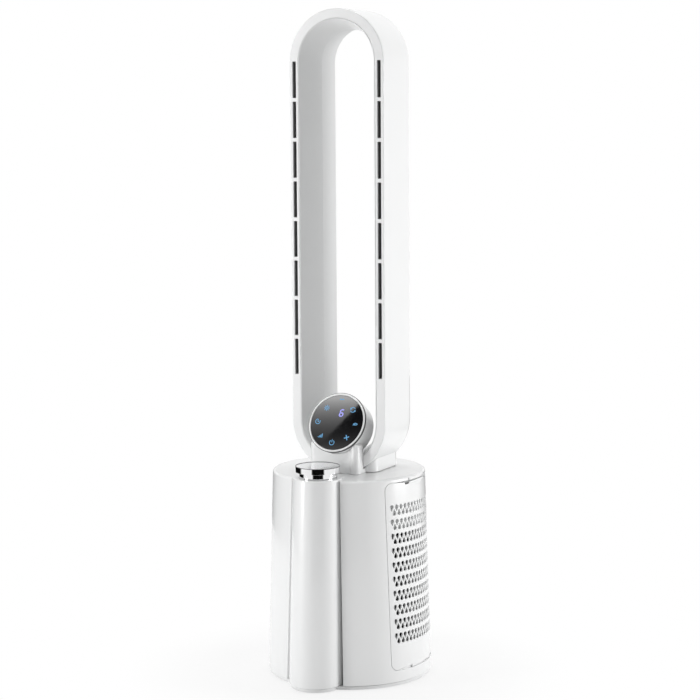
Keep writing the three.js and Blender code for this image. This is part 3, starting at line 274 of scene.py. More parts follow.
def softbox(name, place, width, height, watts):
    """A soft rectangular lamp that faces the fan."""
    light = bpy.data.lights.new(name, "AREA")
    light.shape = "RECTANGLE"
    light.size = width
    light.size_y = height
    light.energy = watts
    lamp = placed(name, light)
    aim = (lit_point - place).to_track_quat("-Z", "Y")
    lamp.matrix_world = Matrix.Translation(place) @ aim.to_matrix().to_4x4()
    lamp.visible_camera = False


# a net takes half of the right softbox's light off the inside of the loop
net_x = 0.09
net_ys = (0.081, 0.19)
net_zs = (0.40, 1.02)
tree, net = board("net", [Vector((net_x, y, z)) for z in net_zs for y in net_ys])
net.visible_shadow = True
net.visible_glossy = False
tree.surface(tree.blend(0.5, tree.matt(card_shade), tree.node("ShaderNodeBsdfTransparent")))
softbox("front_left_softbox", toward(-42, 2.2, 0.5), 0.4, 1.5, 29)
softbox("right_softbox", toward(108, 2.2, 0.5), 1.0, 1.4, 31)
softbox("top_softbox", toward(207, 0.6, 2.7), 1.2, 1.2, 24)

# ---- plinth and feet ----
# A thin round plate of satin white plastic, a little smaller than the body and with the same bulge
# at the front. It stands on five rubber feet, stuck into its underside.
plinth_low, plinth_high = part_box("plinth")


def new_finish(name):
    """A new material, with its tree and the sockets of its shader."""
    finish = bpy.data.materials.new(name)
    tree = Tree(finish)
    return finish, tree, tree.nodes["Principled BSDF"].inputs


def moulding(name, colour, roughness, cloud=0.02, peel=0.00003, grain=700, gloss=0):
    """Moulded plastic: a faint drift in its colour, an uneven gloss and the fine skin of the mould."""
    finish, tree, shader = new_finish(name)
    shader["Coat Weight"].default_value = gloss
    shader["Coat Roughness"].default_value = 0.08
    place = tree.place()
    drift = tree.noise(place, 11, 3)
    skin = tree.noise(place, grain, 4)
    tree.feed(shader["Base Color"], tree.faded(colour, 1 - cloud, drift))
    tree.feed(shader["Roughness"], drift * 0.06 + skin * 0.04 + (roughness - 0.05))
    bump = tree.node("ShaderNodeBump", {}, {"Strength": 1.0, "Distance": peel, "Height": skin})
    tree.feed(shader["Normal"], bump)
    return finish


def rounded(corners, steps=5):
    """A closed outline through corners (a, b), or (a, b, radius) where an arc rounds the corner."""
    points = []
    for place, (a, b, *radius) in enumerate(corners):
        corner = Vector((a, b))
        if not any(radius):
            points.append(corner)
            continue
        radius = radius[0]
        back = (Vector(corners[place - 1][:2]) - corner).normalized()
        on = (Vector(corners[(place + 1) % len(corners)][:2]) - corner).normalized()
        half = back.angle(on) / 2
        middle = corner + (back + on).normalized() * radius / math.sin(half)
        start = corner + back * radius / math.tan(half) - middle
        end = corner + on * radius / math.tan(half) - middle
        for step in range(steps + 1):
            points.append(middle + start.lerp(end, step / steps).normalized() * radius)
    return points


def rectangle(a0, a1, b0, b1, radius, steps=5):
    return rounded([(a0, b0, radius), (a1, b0, radius), (a1, b1, radius), (a0, b1, radius)], steps)


def baked(obj):
    """Leaves a piece a plain mesh, with what its modifiers made."""
    evaluated = obj.evaluated_get(bpy.context.evaluated_depsgraph_get())
    obj.data = bpy.data.meshes.new_from_object(evaluated)
    obj.modifiers.clear()


def shaded(obj, sharp=35):
    """Shades a piece smooth with crisp edges. Large faces stay flat beside their small roundings."""
    obj.data.shade_smooth()
    obj.data.set_sharp_from_angle(angle=math.radians(sharp))
    weighing = obj.modifiers.new("weighing", "WEIGHTED_NORMAL")
    weighing.mode = "FACE_AREA"
    weighing.keep_sharp = True
    baked(obj)


def finished(name, shape, sharp=35):
    """A piece from a bmesh: its doubles are merged, its faces point out and its edges are crisp."""
    bmesh.ops.remove_doubles(shape, verts=shape.verts, dist=1e-6)
    bmesh.ops.recalc_face_normals(shape, faces=shape.faces)
    mesh = bpy.data.meshes.new(name)
    shape.to_mesh(mesh)
    shape.free()
    obj = placed(name, mesh)
    shaded(obj, sharp)
    return obj


def skin(shape, rings, joined=False):
    """Covers rings of points, each a closed outline. The last ring meets the first, or both get a lid."""
    rows = [[shape.verts.new(point) for point in ring] for ring in rings]
    pairs = list(zip(rows, rows[1:]))
    if joined:
        pairs.append((rows[-1], rows[0]))
    for row, following in pairs:
        for place, vert in enumerate(row):
            after = (place + 1) % len(row)
            shape.faces.new((vert, row[after], following[after], following[place]))
    if not joined:
        shape.faces.new(rows[0])
        shape.faces.new(rows[-1])


def spun(shape, outline, x=0.0, y=0.0, steps=96):
    """A closed outline of (radius, height) turned about an upright axis."""
    rows = []
    for step in range(steps):
        turn = step * math.tau / steps
        rows.append([shape.verts.new((x + r * math.cos(turn), y + r * math.sin(turn), z))
                     for r, z in outline])
    for row, following in zip(rows, rows[1:] + rows[:1]):
        for place, vert in enumerate(row):
            after = (place + 1) % len(row)
            if outline[place][0] > 0 or outline[after][0] > 0:
                shape.faces.new((vert, row[after], following[after], following[place]))


def fit(obj, material, body, slot, *nodes):
    """Gives a piece its material and its body, and hides the solids it stands for. The finish slot is not
    used.
    """
    obj.data.materials.clear()
    obj.data.materials.append(material)
    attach(obj, body)
    if nodes:
        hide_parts(*nodes)


def dress(material, *nodes):
    """Gives a material to solids that show as they are."""
    for name in nodes:
        solid = frame["nodes"][name]
        solid.data.materials.clear()
        solid.data.materials.append(material)


def arc_points(a, b, radius, start, end, steps):
    """Points along an arc about (a, b), from one turn to another."""
    turns = [start + (end - start) * step / steps for step in range(steps + 1)]
    return [(a + radius * math.cos(turn), b + radius * math.sin(turn)) for turn in turns]


def bulged(radius, centre_y, bulge_radius, bulge_y, steps=96):
    """The outline of a disc joined to a smaller one in front of it, as (x, y) points."""
    reach = centre_y - bulge_y
    along = (radius ** 2 - bulge_radius ** 2 + reach ** 2) / (2 * reach)
    half = math.sqrt(radius ** 2 - along ** 2)
    wide = math.atan2(half, along)
    narrow = math.atan2(half, reach - along)
    disc = arc_points(0, centre_y, radius, wide - math.pi / 2, 1.5 * math.pi - wide, steps)
    bulge = arc_points(0, bulge_y, bulge_radius, narrow - 1.5 * math.pi, math.pi / 2 - narrow, steps // 3)
    return disc + bulge[1:-1]


gloss_white = moulding("gloss_white_plastic", (0.87, 0.875, 0.875), 0.33, peel=0.000012, gloss=0.6)
satin_white = moulding("satin_white_plastic", (0.82, 0.825, 0.825), 0.38, peel=0.00003)
shape = bmesh.new()
plinth_radius = plinth_high.x
bulge_radius = 0.0368
bulge_y = plinth_low.y + bulge_radius
plinth_edge = 0.0008
rings = []
for inset, z in [(plinth_edge, plinth_low.z), (0, plinth_low.z + plinth_edge),
                 (0, plinth_high.z - plinth_edge), (plinth_edge, plinth_high.z)]:
    points = bulged(plinth_radius - inset, turn_y, bulge_radius - inset, bulge_y)
    rings.append([Vector((x, y, z)) for x, y in points])
skin(shape, rings)
fit(finished("plinth_plate", shape), satin_white, "plinth", "white_satin", "plinth")

rubber = moulding("black_rubber", (0.025, 0.025, 0.025), 0.8, cloud=0.3, peel=0.0001, grain=1500)
feet = ["foot_front", "foot_front_left", "foot_front_right", "foot_rear_left", "foot_rear_right"]
tread_recess = 0.0004
shape = bmesh.new()
for name in feet:
    low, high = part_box(name)
    middle = (low + high) / 2
    radius = (high.x - low.x) / 2
    tread = rounded([(0, high.z), (0, tread_recess), (radius * 0.55, tread_recess),
                     (radius * 0.6, 0), (radius, 0, 0.0005), (radius, high.z)], 3)
    spun(shape, tread, middle.x, middle.y, 32)
fit(finished("rubber_feet", shape), rubber, "plinth", "rubber", *feet)

# ---- turntable ----
# A steel post stands on the plinth, and the body turns on it over an acetal ring. A small motor
# in the body turns a pinion that walks round a fixed gear. None of it shows from outside.
acetal = moulding("acetal_gear_plastic", (0.78, 0.75, 0.63), 0.4)


def bare_metal(name, colour, roughness, scratch=0.00002):
    """Turned metal: fine rings of tool marks, and a finish that wears a little unevenly."""
    finish, tree, shader = new_finish(name)
    shader["Metallic"].default_value = 1
    place = tree.place()
    stretched = tree.node("ShaderNodeMapping", {}, {"Vector": place, "Scale": (60, 60, 2500)})
    marks = tree.noise(stretched, 1, 2)
    drift = tree.noise(place, 60, 2)
    tree.feed(shader["Base Color"], tree.faded(colour, 0.88, drift))
    tree.feed(shader["Roughness"], marks * 0.12 + drift * 0.05 + (roughness - 0.085))
    tree.feed(shader["Normal"], tree.node("ShaderNodeBump", {}, {"Distance": scratch, "Height": marks}))
    return finish


steel = bare_metal("turned_steel", (0.55, 0.56, 0.58), 0.32)
brass = bare_metal("turned_brass", (0.72, 0.55, 0.26), 0.3)
dress(acetal, "glide_ring", "fixed_gear", "drive_pinion")
dress(steel, "pivot_post", "pivot_washer", "pivot_nut", "swing_motor")
inner_white = moulding("inner_white_plastic", (0.70, 0.71, 0.71), 0.5, peel=0.00006)
dress(inner_white, "body_floor")

# ---- body shell ----
# One glossy white moulding: a slightly tapered drum with a flat deck. A window on each side takes a
# filter cover, and under the neck the deck has a hole for the air. The front is open for the column,
# with a groove down each side of it.
body_low, body_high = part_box("body_shell")
column_low, column_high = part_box("column_shell")
neck_low, neck_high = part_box("neck")
body_radius = body_high.x
body_top_radius = 0.1151
deck_z = body_high.z
body_wall = 0.0026
rim_radius = 0.004
drum_steps = 224
column_bottom_radius = column_high.x
column_top_radius = 0.0365
column_bottom_y = column_low.y + column_bottom_radius
column_top_y = turn_y - 0.101
column_seam = 0.00025
window_half = 0.0682
window_low_z = 0.025
window_high_z = 0.307
window_corner = 0.011
neck_wall = 0.0026
neck_corner = 0.014
notch_y = 0.0253
notch_width = 0.0028
notch_height = 0.0036
notch_depth = 0.004
overshoot = 0.01
drum_height = deck_z - body_low.z
taper = (body_radius - body_top_radius) / drum_height


def body_radius_at(z):
    return body_radius - taper * (z - body_low.z)


def column_radius_at(z):
    rise = (z - column_low.z) / (column_high.z - column_low.z)
    return column_bottom_radius + (column_top_radius - column_bottom_radius) * rise


def column_y_at(z):
    rise = (z - column_low.z) / (column_high.z - column_low.z)
    return column_bottom_y + (column_top_y - column_bottom_y) * rise


def turned(name, outline, y, steps=96):
    """A piece turned about an upright axis in the fan's middle plane, from (radius, height)."""
    shape = bmesh.new()
    spun(shape, outline, 0, y, steps)
    return finished(name, shape)


def leaning(name, outline):
    """A piece turned about the column's leaning axis."""
    shape = bmesh.new()
    spun(shape, outline, steps=128)
    for vert in shape.verts:
        vert.co.y += column_y_at(vert.co.z)
    return finished(name, shape)


def prism(name, axis, outline, start, end):
    """A piece that carries an outline along an axis. A point's numbers are for the other two axes."""
    before = "XYZ".index(axis)
    shape = bmesh.new()
    skin(shape, [[Vector((*point[:before], place, *point[before:])) for point in outline]
                 for place in (start, end)])
    return finished(name, shape)


def neck_outline(inset, steps=12):
    """The neck's rounded rectangle in X and Y, smaller by an inset all round."""
    return rectangle(neck_low.x + inset, neck_high.x - inset, neck_low.y + inset, neck_high.y - inset,
                     neck_corner - inset, steps)


def cut(obj, *tools, how="DIFFERENCE"):
    """Cuts closed shapes out of a piece, or joins them to it, and leaves it a plain mesh."""
    for tool in tools:
        modifier = obj.modifiers.new("cut", "BOOLEAN")
        modifier.object = tool
        modifier.operation = how
        modifier.solver = "MANIFOLD"
    baked(obj)
    for tool in tools:
        bpy.data.objects.remove(tool)
    shaded(obj)


def follow(obj, surface_normal, within=28):
    """Gives faces that lie on a known surface that surface's own normals, so that it shades evenly."""
    mesh = obj.data
    normals = [corner.vector.copy() for corner in mesh.corner_normals]
    limit = math.cos(math.radians(within))
    for polygon in mesh.polygons:
        for loop in polygon.loop_indices:
            true = surface_normal(mesh.vertices[mesh.loops[loop].vertex_index].co)
            match = true.dot(polygon.normal)
            if match > limit:
                normals[loop] = true
            elif match < -limit:
                normals[loop] = -true
    mesh.normals_split_custom_set(normals)


def body_normal(point):
    """Which way the drum's surface faces: out and a little up, then rolling over onto the deck."""
    out = Vector((point.x, point.y - turn_y, 0))
    distance = out.length
    slope = Vector((out.x, out.y, taper * distance)).normalized()
    roll = body_radius_at(deck_z - rim_radius) - rim_radius
    if point.z <= deck_z - rim_radius or distance < 0.01:
        return slope
    if distance <= roll:
        return Vector((0, 0, 1))
    lean = Vector((distance - roll, point.z - (deck_z - rim_radius))).normalized()
    return Vector((out.x / distance * lean.x, out.y / distance * lean.x, lean.y))


under_deck = deck_z - body_wall
outline = rounded([(0, under_deck), (body_radius_at(under_deck) - body_wall, under_deck),
                   (body_radius - body_wall, body_low.z), (body_radius, body_low.z, 0.0006),
                   (body_radius_at(deck_z), deck_z, rim_radius), (0, deck_z)], 8)
shell = turned("body_drum", outline, turn_y, drum_steps)
way_low = column_low.z - overshoot
way_high = deck_z + 2 * overshoot
cutters = [leaning("column_way", [(0, way_low), (column_radius_at(way_low) + column_seam, way_low),
                                  (column_radius_at(way_high) + column_seam, way_high), (0, way_high)])]
groove_slope = math.radians(27)
groove_bottom_turn = math.radians(109)
groove_top_turn = math.radians(89)
groove_wall = 0.0024
groove_reach = 0.054
groove_inward = column_top_radius


def casing(obj, node):
    """Makes a piece part of the housing's glossy white casing."""
    fit(obj, gloss_white, "housing", "white_gloss", node)


def beside_column(side, corners):
    """A prism beside the column, with corners given along and across the groove's wall from its foot."""
    sine, cosine = math.sin(groove_slope), math.cos(groove_slope)
    rings = []
    for z in (body_low.z - 0.001, deck_z + 0.001):
        rise = (z - body_low.z) / drum_height
        turn = groove_bottom_turn + (groove_top_turn - groove_bottom_turn) * rise
        reach = column_radius_at(z) + column_seam
        x = reach * math.sin(turn)
        y = column_y_at(z) - reach * math.cos(turn)
        rings.append([Vector((side * (x + a * sine + b * cosine), y - a * cosine + b * sine, z))
                      for a, b in corners])
    shape = bmesh.new()
    skin(shape, rings)
    return finished("beside_column", shape)


for side in (-1, 1):
    wall = beside_column(side, [(0, 0), (groove_reach, 0), (groove_reach, groove_wall), (0, groove_wall)])
    filled_drum = turned("filled_drum", [(0, body_low.z)] + outline[3:], turn_y, drum_steps)
    cut(wall, filled_drum, how="INTERSECT")
    cut(shell, wall, how="UNION")
    cutters.append(beside_column(side, [(0, 0), (groove_reach, 0), (groove_reach, -groove_inward),
                                        (groove_inward / 2, -groove_inward)]))
far = body_radius + 2 * overshoot
for side in (-1, 1):
    window = rectangle(turn_y - window_half, turn_y + window_half, window_low_z, window_high_z,
                       window_corner, 10)
    cutters.append(prism("window", "X", window, side * window_half, side * far))
    for y in (-notch_y, notch_y):
        deep = math.sqrt(body_radius_at(window_high_z) ** 2 - notch_y ** 2) - notch_depth
        notch = rectangle(turn_y + y - notch_width / 2, turn_y + y + notch_width / 2,
                          window_high_z - 0.002, window_high_z + notch_height, 0.0005)
        cutters.append(prism("rim_notch", "X", notch, side * deep, side * far))
cutters.append(prism("air_way", "Z", neck_outline(neck_wall, 8), deck_z - overshoot, deck_z + overshoot))
inlet_low, inlet_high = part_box("mains_inlet")
inlet_gap = 0.0003
hole = rectangle(inlet_low.x - inlet_gap, inlet_high.x + inlet_gap, inlet_low.z - inlet_gap,
                 inlet_high.z + inlet_gap, 0.0012)
cutters.append(prism("inlet_hole", "Y", hole, inlet_low.y - overshoot, inlet_high.y + 2 * overshoot))
cut(shell, *cutters)
follow(shell, body_normal)
casing(shell, "body_shell")

# ---- column ----
# The round glossy white column at the front hides the scent canister. It leans back a little as it
# rises, stands proud of the deck and has a round mouth on top. It clips to the drum from inside.
sleeve_low, sleeve_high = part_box("canister_sleeve")
canister_low, canister_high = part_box("canister")
mouth_radius = canister_high.x + 0.0006
column_wall = 0.0025
column_lip = 0.0045
lip_radius = 0.0012
inner_low = column_low.z + column_wall
inner_high = column_high.z - column_lip
outline = rounded([(0, column_low.z), (column_bottom_radius, column_low.z, 0.0006),
                   (column_top_radius, column_high.z, lip_radius), (mouth_radius, column_high.z, 0.0004),
                   (mouth_radius, inner_high), (column_radius_at(inner_high) - column_wall, inner_high),
                   (column_radius_at(inner_low) - column_wall, inner_low), (0, inner_low)], 6)
casing(leaning("column", outline), "column_shell")

# ---- canister, sleeve and knob ----
# A satin white cup that lifts out of a sleeve in the column. Its lid is a chromed knob: a disc on a
# narrower stem, with a dark rim round a silvered top, and a plug and a rubber ring that seal the cup.
canister_wall = 0.0018
sleeve_wall = 0.0017
sleeve_bore = sleeve_high.x - sleeve_wall
outline = rounded([(0, sleeve_low.z), (sleeve_high.x, sleeve_low.z, 0.001),
                   (sleeve_high.x, sleeve_high.z), (sleeve_bore, sleeve_high.z),
                   (sleeve_bore, sleeve_low.z + sleeve_wall, 0.001), (0, sleeve_low.z + sleeve_wall)])
fit(turned("sleeve", outline, column_top_y), inner_white, "housing", "white_inner", "canister_sleeve")

cup_radius = canister_high.x
cup_bore = cup_radius - canister_wall
outline = rounded([(0, canister_low.z), (cup_radius, canister_low.z, 0.003),
                   (cup_radius, canister_high.z, 0.0005), (cup_bore, canister_high.z, 0.0005),
                   (cup_bore, canister_low.z + canister_wall, 0.003), (0, canister_low.z + canister_wall)])
fit(turned("scent_canister", outline, column_top_y), satin_white, "canister", "white_satin", "canister")


def chromed(name, roughness=0.02):
    """Bright chrome plate: nearly a mirror, with the faintest haze from handling."""
    finish, tree, shader = new_finish(name)
    shader["Metallic"].default_value = 1
    place = tree.place()
    haze = tree.noise(place, 90, 3)
    tree.feed(shader["Base Color"], tree.between((0.80, 0.80, 0.81, 1), (0.88, 0.885, 0.89, 1), haze))
    tree.feed(shader["Roughness"], haze * 0.05 + roughness)
    return finish


chrome = chromed("bright_chrome")
plug_low, plug_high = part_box("knob_neck")
knob_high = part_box("knob_disc")[1]
knob_radius = knob_high.x
knob_steps = 160
rim_width = 0.0011
rim_height = 0.0008
rim_bore = knob_radius - rim_width
rim_foot = knob_high.z - rim_height
inlay_top = knob_high.z - 0.0005
outline = rounded([(0, plug_high.z), (knob_radius, plug_high.z, 0.0002), (knob_radius, rim_foot),
                   (0, rim_foot)], 4)
fit(turned("knob_top", outline, column_top_y, knob_steps), chrome, "knob", "chrome", "knob_disc")
outline = [(0, rim_foot), (rim_bore, rim_foot), (rim_bore, inlay_top), (0, inlay_top)]
silvered = chromed("silvered_inlay", 0.12)
fit(turned("knob_inlay", outline, column_top_y, knob_steps), silvered, "knob", "chrome", "knob_disc")
outline = rounded([(rim_bore, rim_foot), (knob_radius, rim_foot), (knob_radius, knob_high.z, 0.0003),
                   (rim_bore, knob_high.z, 0.0003)], 3)
dark_trim = moulding("dark_trim_plastic", (0.045, 0.045, 0.047), 0.3, cloud=0.2)
fit(turned("knob_rim", outline, column_top_y, knob_steps), dark_trim, "knob", "black_plastic", "knob_disc")

seal_low, seal_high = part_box("plug_seal")
seal_gap = 0.0003
groove_low = seal_low.z - seal_gap
groove_high = seal_high.z + seal_gap
plug_radius = cup_bore - 0.0004
groove_radius = plug_radius - 0.0014
stem_radius = 0.028
plug_top = canister_high.z + 0.0003
outline = rounded([(0, plug_low.z), (plug_radius, plug_low.z, 0.0008), (plug_radius, groove_low),
                   (groove_radius, groove_low), (groove_radius, groove_high),
                   (plug_radius, groove_high), (plug_radius, plug_top),
                   (stem_radius, plug_top + 0.0002, 0.0004), (stem_radius, plug_high.z, 0.0004),
                   (0, plug_high.z)], 3)
fit(turned("knob_stem", outline, column_top_y, 128), chrome, "knob", "chrome", "knob_neck")
seal_section = (seal_high.z - seal_low.z) / 2
seal_radius = seal_high.x - seal_section
outline = [(seal_radius + seal_section * math.cos(i * math.tau / 12),
            (seal_low.z + seal_high.z) / 2 + seal_section * 0.96 * math.sin(i * math.tau / 12))
           for i in range(12)]
fit(turned("seal_ring", outline, column_top_y), rubber, "knob", "rubber", "plug_seal")

# ---- filter covers ----
# A curved glossy white panel on each side, with ten bands of drop-shaped air holes: a row with its
# points down over a row with its points up. Two slots at the top take a fingernail. Two hooks at the
# bottom hold the panel behind the window's sill, and a tongue behind the seam closes it.
cover_seam = 0.0005
cover_wall = 0.0025
drop_bands = 10
band_pitch = 0.02136
first_top_z = 0.274
drop_pitch = 0.00784
drops_in_row = 16
drop_width = 0.0056
drop_height = 0.0096
drop_tip = 0.0003
tip_turn = 0.6
lower_drop = 0.0063
slot_y = 0.0295
slot_width = 0.0095
slot_height = 0.0022
slot_z = 0.3029
edge_round = 0.0003
hook_reach = 0.03
hook_width = 0.016
hook_thickness = 0.002
hook_lip = 0.003
hook_rise = 0.005
lip_rise = 0.0006
sill_gap = 0.0004
tongue_reach = math.radians(26)
tongue_wall = 0.001
tongue_drop = 0.002
tongue_rise = 0.004
spare_pitch = 0.0042
spare_bands = ((5, 0.030, 0.062), (3, 0.280, 0.298))
slot_clear_y = 0.008
slot_clear_z = 0.003


def standing(shape, outline, z0, z1):
    """An outline in X and Y, stood up between two heights."""
    skin(shape, [[Vector((a, b, z)) for a, b in outline] for z in (z0, z1)])


def drop(y, top_z, point_down, extra):
    """A drop's outline in Y and Z: a round end, straight sides and a blunted point."""
    radius = drop_width / 2
    length = drop_height - radius
    lean = math.acos(radius / length)
    flip = 1 if point_down else -1
    middle_z = top_z - radius if point_down else top_z - drop_height + radius
    tip = drop_tip + extra
    points = arc_points(0, 0, radius + extra, lean - math.pi / 2, 1.5 * math.pi - lean, 11)
    points += arc_points(0, tip - length, tip, -math.pi / 2 - tip_turn, tip_turn - math.pi / 2, 1)
    return [(y + a, middle_z + flip * b) for a, b in points][::flip]


def cover_outlines(extra):
    """Every opening in the cover, wider by a rounding, and last its own outline, smaller by it."""
    outlines = []
    for band in range(drop_bands):
        top_z = first_top_z - band * band_pitch
        for place in range(drops_in_row):
            y = (place - (drops_in_row - 1) / 2) * drop_pitch
            outlines.append(drop(y, top_z, True, extra))
            if place < drops_in_row - 1:
                outlines.append(drop(y + drop_pitch / 2, top_z - lower_drop, False, extra))
    half_width = slot_width / 2 + extra
    half_height = slot_height / 2 + extra
    for y in (-slot_y, slot_y):
        outlines.append(rectangle(y - half_width, y + half_width, slot_z - half_height, slot_z + half_height,
                                  0.0007 + extra, 3))
    inset = cover_seam + extra
    outlines.append(rectangle(-window_half + inset, window_half - inset, window_low_z + inset,
                              window_high_z - inset, window_corner - inset, 10))
    return outlines


def on_side(y, z, depth):
    """The point at (y, z) on the drum's side, moved in towards the axis by a depth."""
    radius = body_radius_at(z)
    x = math.sqrt(radius ** 2 - y ** 2)
    inward = 1 - depth / radius
    return Vector((x * inward, turn_y + y * inward, z))


def filter_cover(side):
    """The panel's mesh: a front and a back sheet with the same openings, and a rounded edge between."""
    sharp_lines = cover_outlines(0)
    soft_lines = cover_outlines(edge_round)
    flat = [Vector(point) for outline in soft_lines for point in outline]
    loops = []
    start = 0
    for outline in soft_lines:
        loops.append(list(range(start, start + len(outline))))
        start += len(outline)
    # points of the plain bands at the bottom and the top, so that the sheet follows the drum there
    spare = []
    for z_steps, z_low, z_high in spare_bands:
        for i in range(z_steps):
            z = z_low + (z_high - z_low) * i / (z_steps - 1)
            spare += [Vector((j * spare_pitch, z)) for j in range(-15, 16)]
    spare = [p for p in spare
             if abs(p.y - slot_z) > slot_clear_z or abs(abs(p.x) - slot_y) > slot_clear_y]
    points, _, faces, origins, _, held_by = geometry.delaunay_2d_cdt(flat + spare, [], loops, 1, 1e-7)
    outer = len(loops) - 1
    faces = [face for face, inside in zip(faces, held_by) if inside == [outer]]
    target = [Vector(point) for outline in sharp_lines for point in outline]
    shape = bmesh.new()
    fronts = [shape.verts.new(on_side(p.x, p.y, 0)) for p in points]
    backs = []
    walls = []
    for p, sources in zip(points, origins):
        q = target[sources[0]] if sources and sources[0] < len(target) else p
        walls.append(shape.verts.new(on_side(q.x, q.y, edge_round)))
        backs.append(shape.verts.new(on_side(q.x, q.y, cover_wall)))
    rim = {}
    for face in faces:
        shape.faces.new([fronts[i] for i in face])
        shape.faces.new([backs[i] for i in reversed(face)])
        rim.update(dict.fromkeys(zip(face, face[1:] + face[:1])))
    for a, b in rim:
        if (b, a) not in rim:
            shape.faces.new((fronts[b], fronts[a], walls[a], walls[b]))
            shape.faces.new((walls[b], walls[a], backs[a], backs[b]))
    for vert in [v for v in shape.verts if not v.link_faces]:
        shape.verts.remove(vert)
    sill = body_radius_at(window_low_z) - body_wall
    hook_x = math.sqrt((sill - sill_gap) ** 2 - hook_reach ** 2)
    hook_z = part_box("filter_cover_right")[0].z
    for y in (turn_y - hook_reach, turn_y + hook_reach - hook_width):
        for x, z in ((hook_x, hook_z), (hook_x + hook_lip, window_low_z + lip_rise)):
            hook = rectangle(hook_x - hook_thickness, x, y, y + hook_width, 0.0004, 2)
            standing(shape, hook, z, window_low_z + hook_rise)
    inside = sill - 0.0005
    plan = arc_points(0, turn_y, inside, -tongue_reach, tongue_reach, 40)
    plan += arc_points(0, turn_y, inside - tongue_wall, tongue_reach, -tongue_reach, 40)
    standing(shape, plan, window_low_z - tongue_drop, window_low_z + tongue_rise)
    if side < 0:
        for vert in shape.verts:
            vert.co.x = -vert.co.x
    return shape


def side_normal(point):
    out = Vector((point.x, point.y - turn_y, 0))
    return Vector((out.x, out.y, taper * out.length)).normalized()


for side, name in ((1, "right"), (-1, "left")):
    cover = finished("cover_" + name, filter_cover(side), 60)
    follow(cover, side_normal, 20)
    fit(cover, gloss_white, "cover_" + name, "white_gloss", "filter_cover_" + name)

# ---- filters ----
# Behind each cover is a filter: dark pleated paper in a thin white tray that tips out with the cover.
# The tray's deep head shows pale behind the top holes. A fixed frame with ribs stands behind it.
paper = moulding("filter_paper", (0.035, 0.037, 0.04), 0.9, cloud=0.35, peel=0.0002, grain=2500)
black_plastic = moulding("black_plastic", (0.022, 0.022, 0.024), 0.42, cloud=0.2)
grey_plastic = moulding("grey_plastic", (0.30, 0.31, 0.32), 0.5)
pack_half = 0.060
pack_low_z = 0.031
pack_high_z = 0.295
pack_outer = 0.0035
pack_inner = 0.0205
tray_wall = 0.002
tray_bar = 0.005
tray_head = 0.058
paper_thickness = 0.0006


def pleating():
    """Nodes that fold a sheet of paper into pleats round the drum's side."""
    group = bpy.data.node_groups.new("pleating", "GeometryNodeTree")
    asked = {}
    kinds = {"Pleats": "Int", "Paper": "Material"}
    for name in ("Pleats", "Half Turn", "Bottom", "Top", "Radius", "Taper", "Fold", "Axis Y", "Side",
                 "Paper"):
        kind = "NodeSocket" + kinds.get(name, "Float")
        asked[name] = group.interface.new_socket(name, in_out="INPUT", socket_type=kind).identifier
    group.interface.new_socket("Geometry", in_out="OUTPUT", socket_type="NodeSocketGeometry")
    tree = Tree(group)
    given = tree.nodes.new("NodeGroupInput")
    size = {name: Signal(tree, given.outputs[name]) for name in asked}
    folds = size["Pleats"] * 2
    grid = {"Size X": 1.0, "Size Y": 1.0, "Vertices X": folds + 1, "Vertices Y": 2}
    sheet = tree.node("GeometryNodeMeshGrid", {}, grid, output="Mesh")
    apart = tree.nodes.new("ShaderNodeSeparateXYZ")
    tree.feed(apart.inputs[0], tree.node("GeometryNodeInputPosition"))
    across = Signal(tree, apart.outputs["X"])
    fold = (across + 0.5) * folds
    odd = tree.maths("FLOORED_MODULO", tree.maths("ROUND", fold), 2)
    rise = (Signal(tree, apart.outputs["Y"]) + 0.5) * (size["Top"] - size["Bottom"])
    radius = size["Radius"] - rise * size["Taper"] - odd * size["Fold"]
    turn = across * 2 * size["Half Turn"]
    x = tree.maths("COSINE", turn) * radius * size["Side"]
    y = tree.maths("SINE", turn) * radius + size["Axis Y"]
    place = tree.node("ShaderNodeCombineXYZ", {}, {"X": x, "Y": y, "Z": rise + size["Bottom"]})
    folded = tree.node("GeometryNodeSetPosition", {}, {"Geometry": sheet, "Position": place})
    real = tree.node("GeometryNodeRealizeInstances", {}, {"Geometry": folded})
    dressed = tree.node("GeometryNodeSetMaterial", {}, {"Geometry": real, "Material": size["Paper"]})
    tree.feed(tree.nodes.new("NodeGroupOutput").inputs["Geometry"], dressed)
    return group, asked


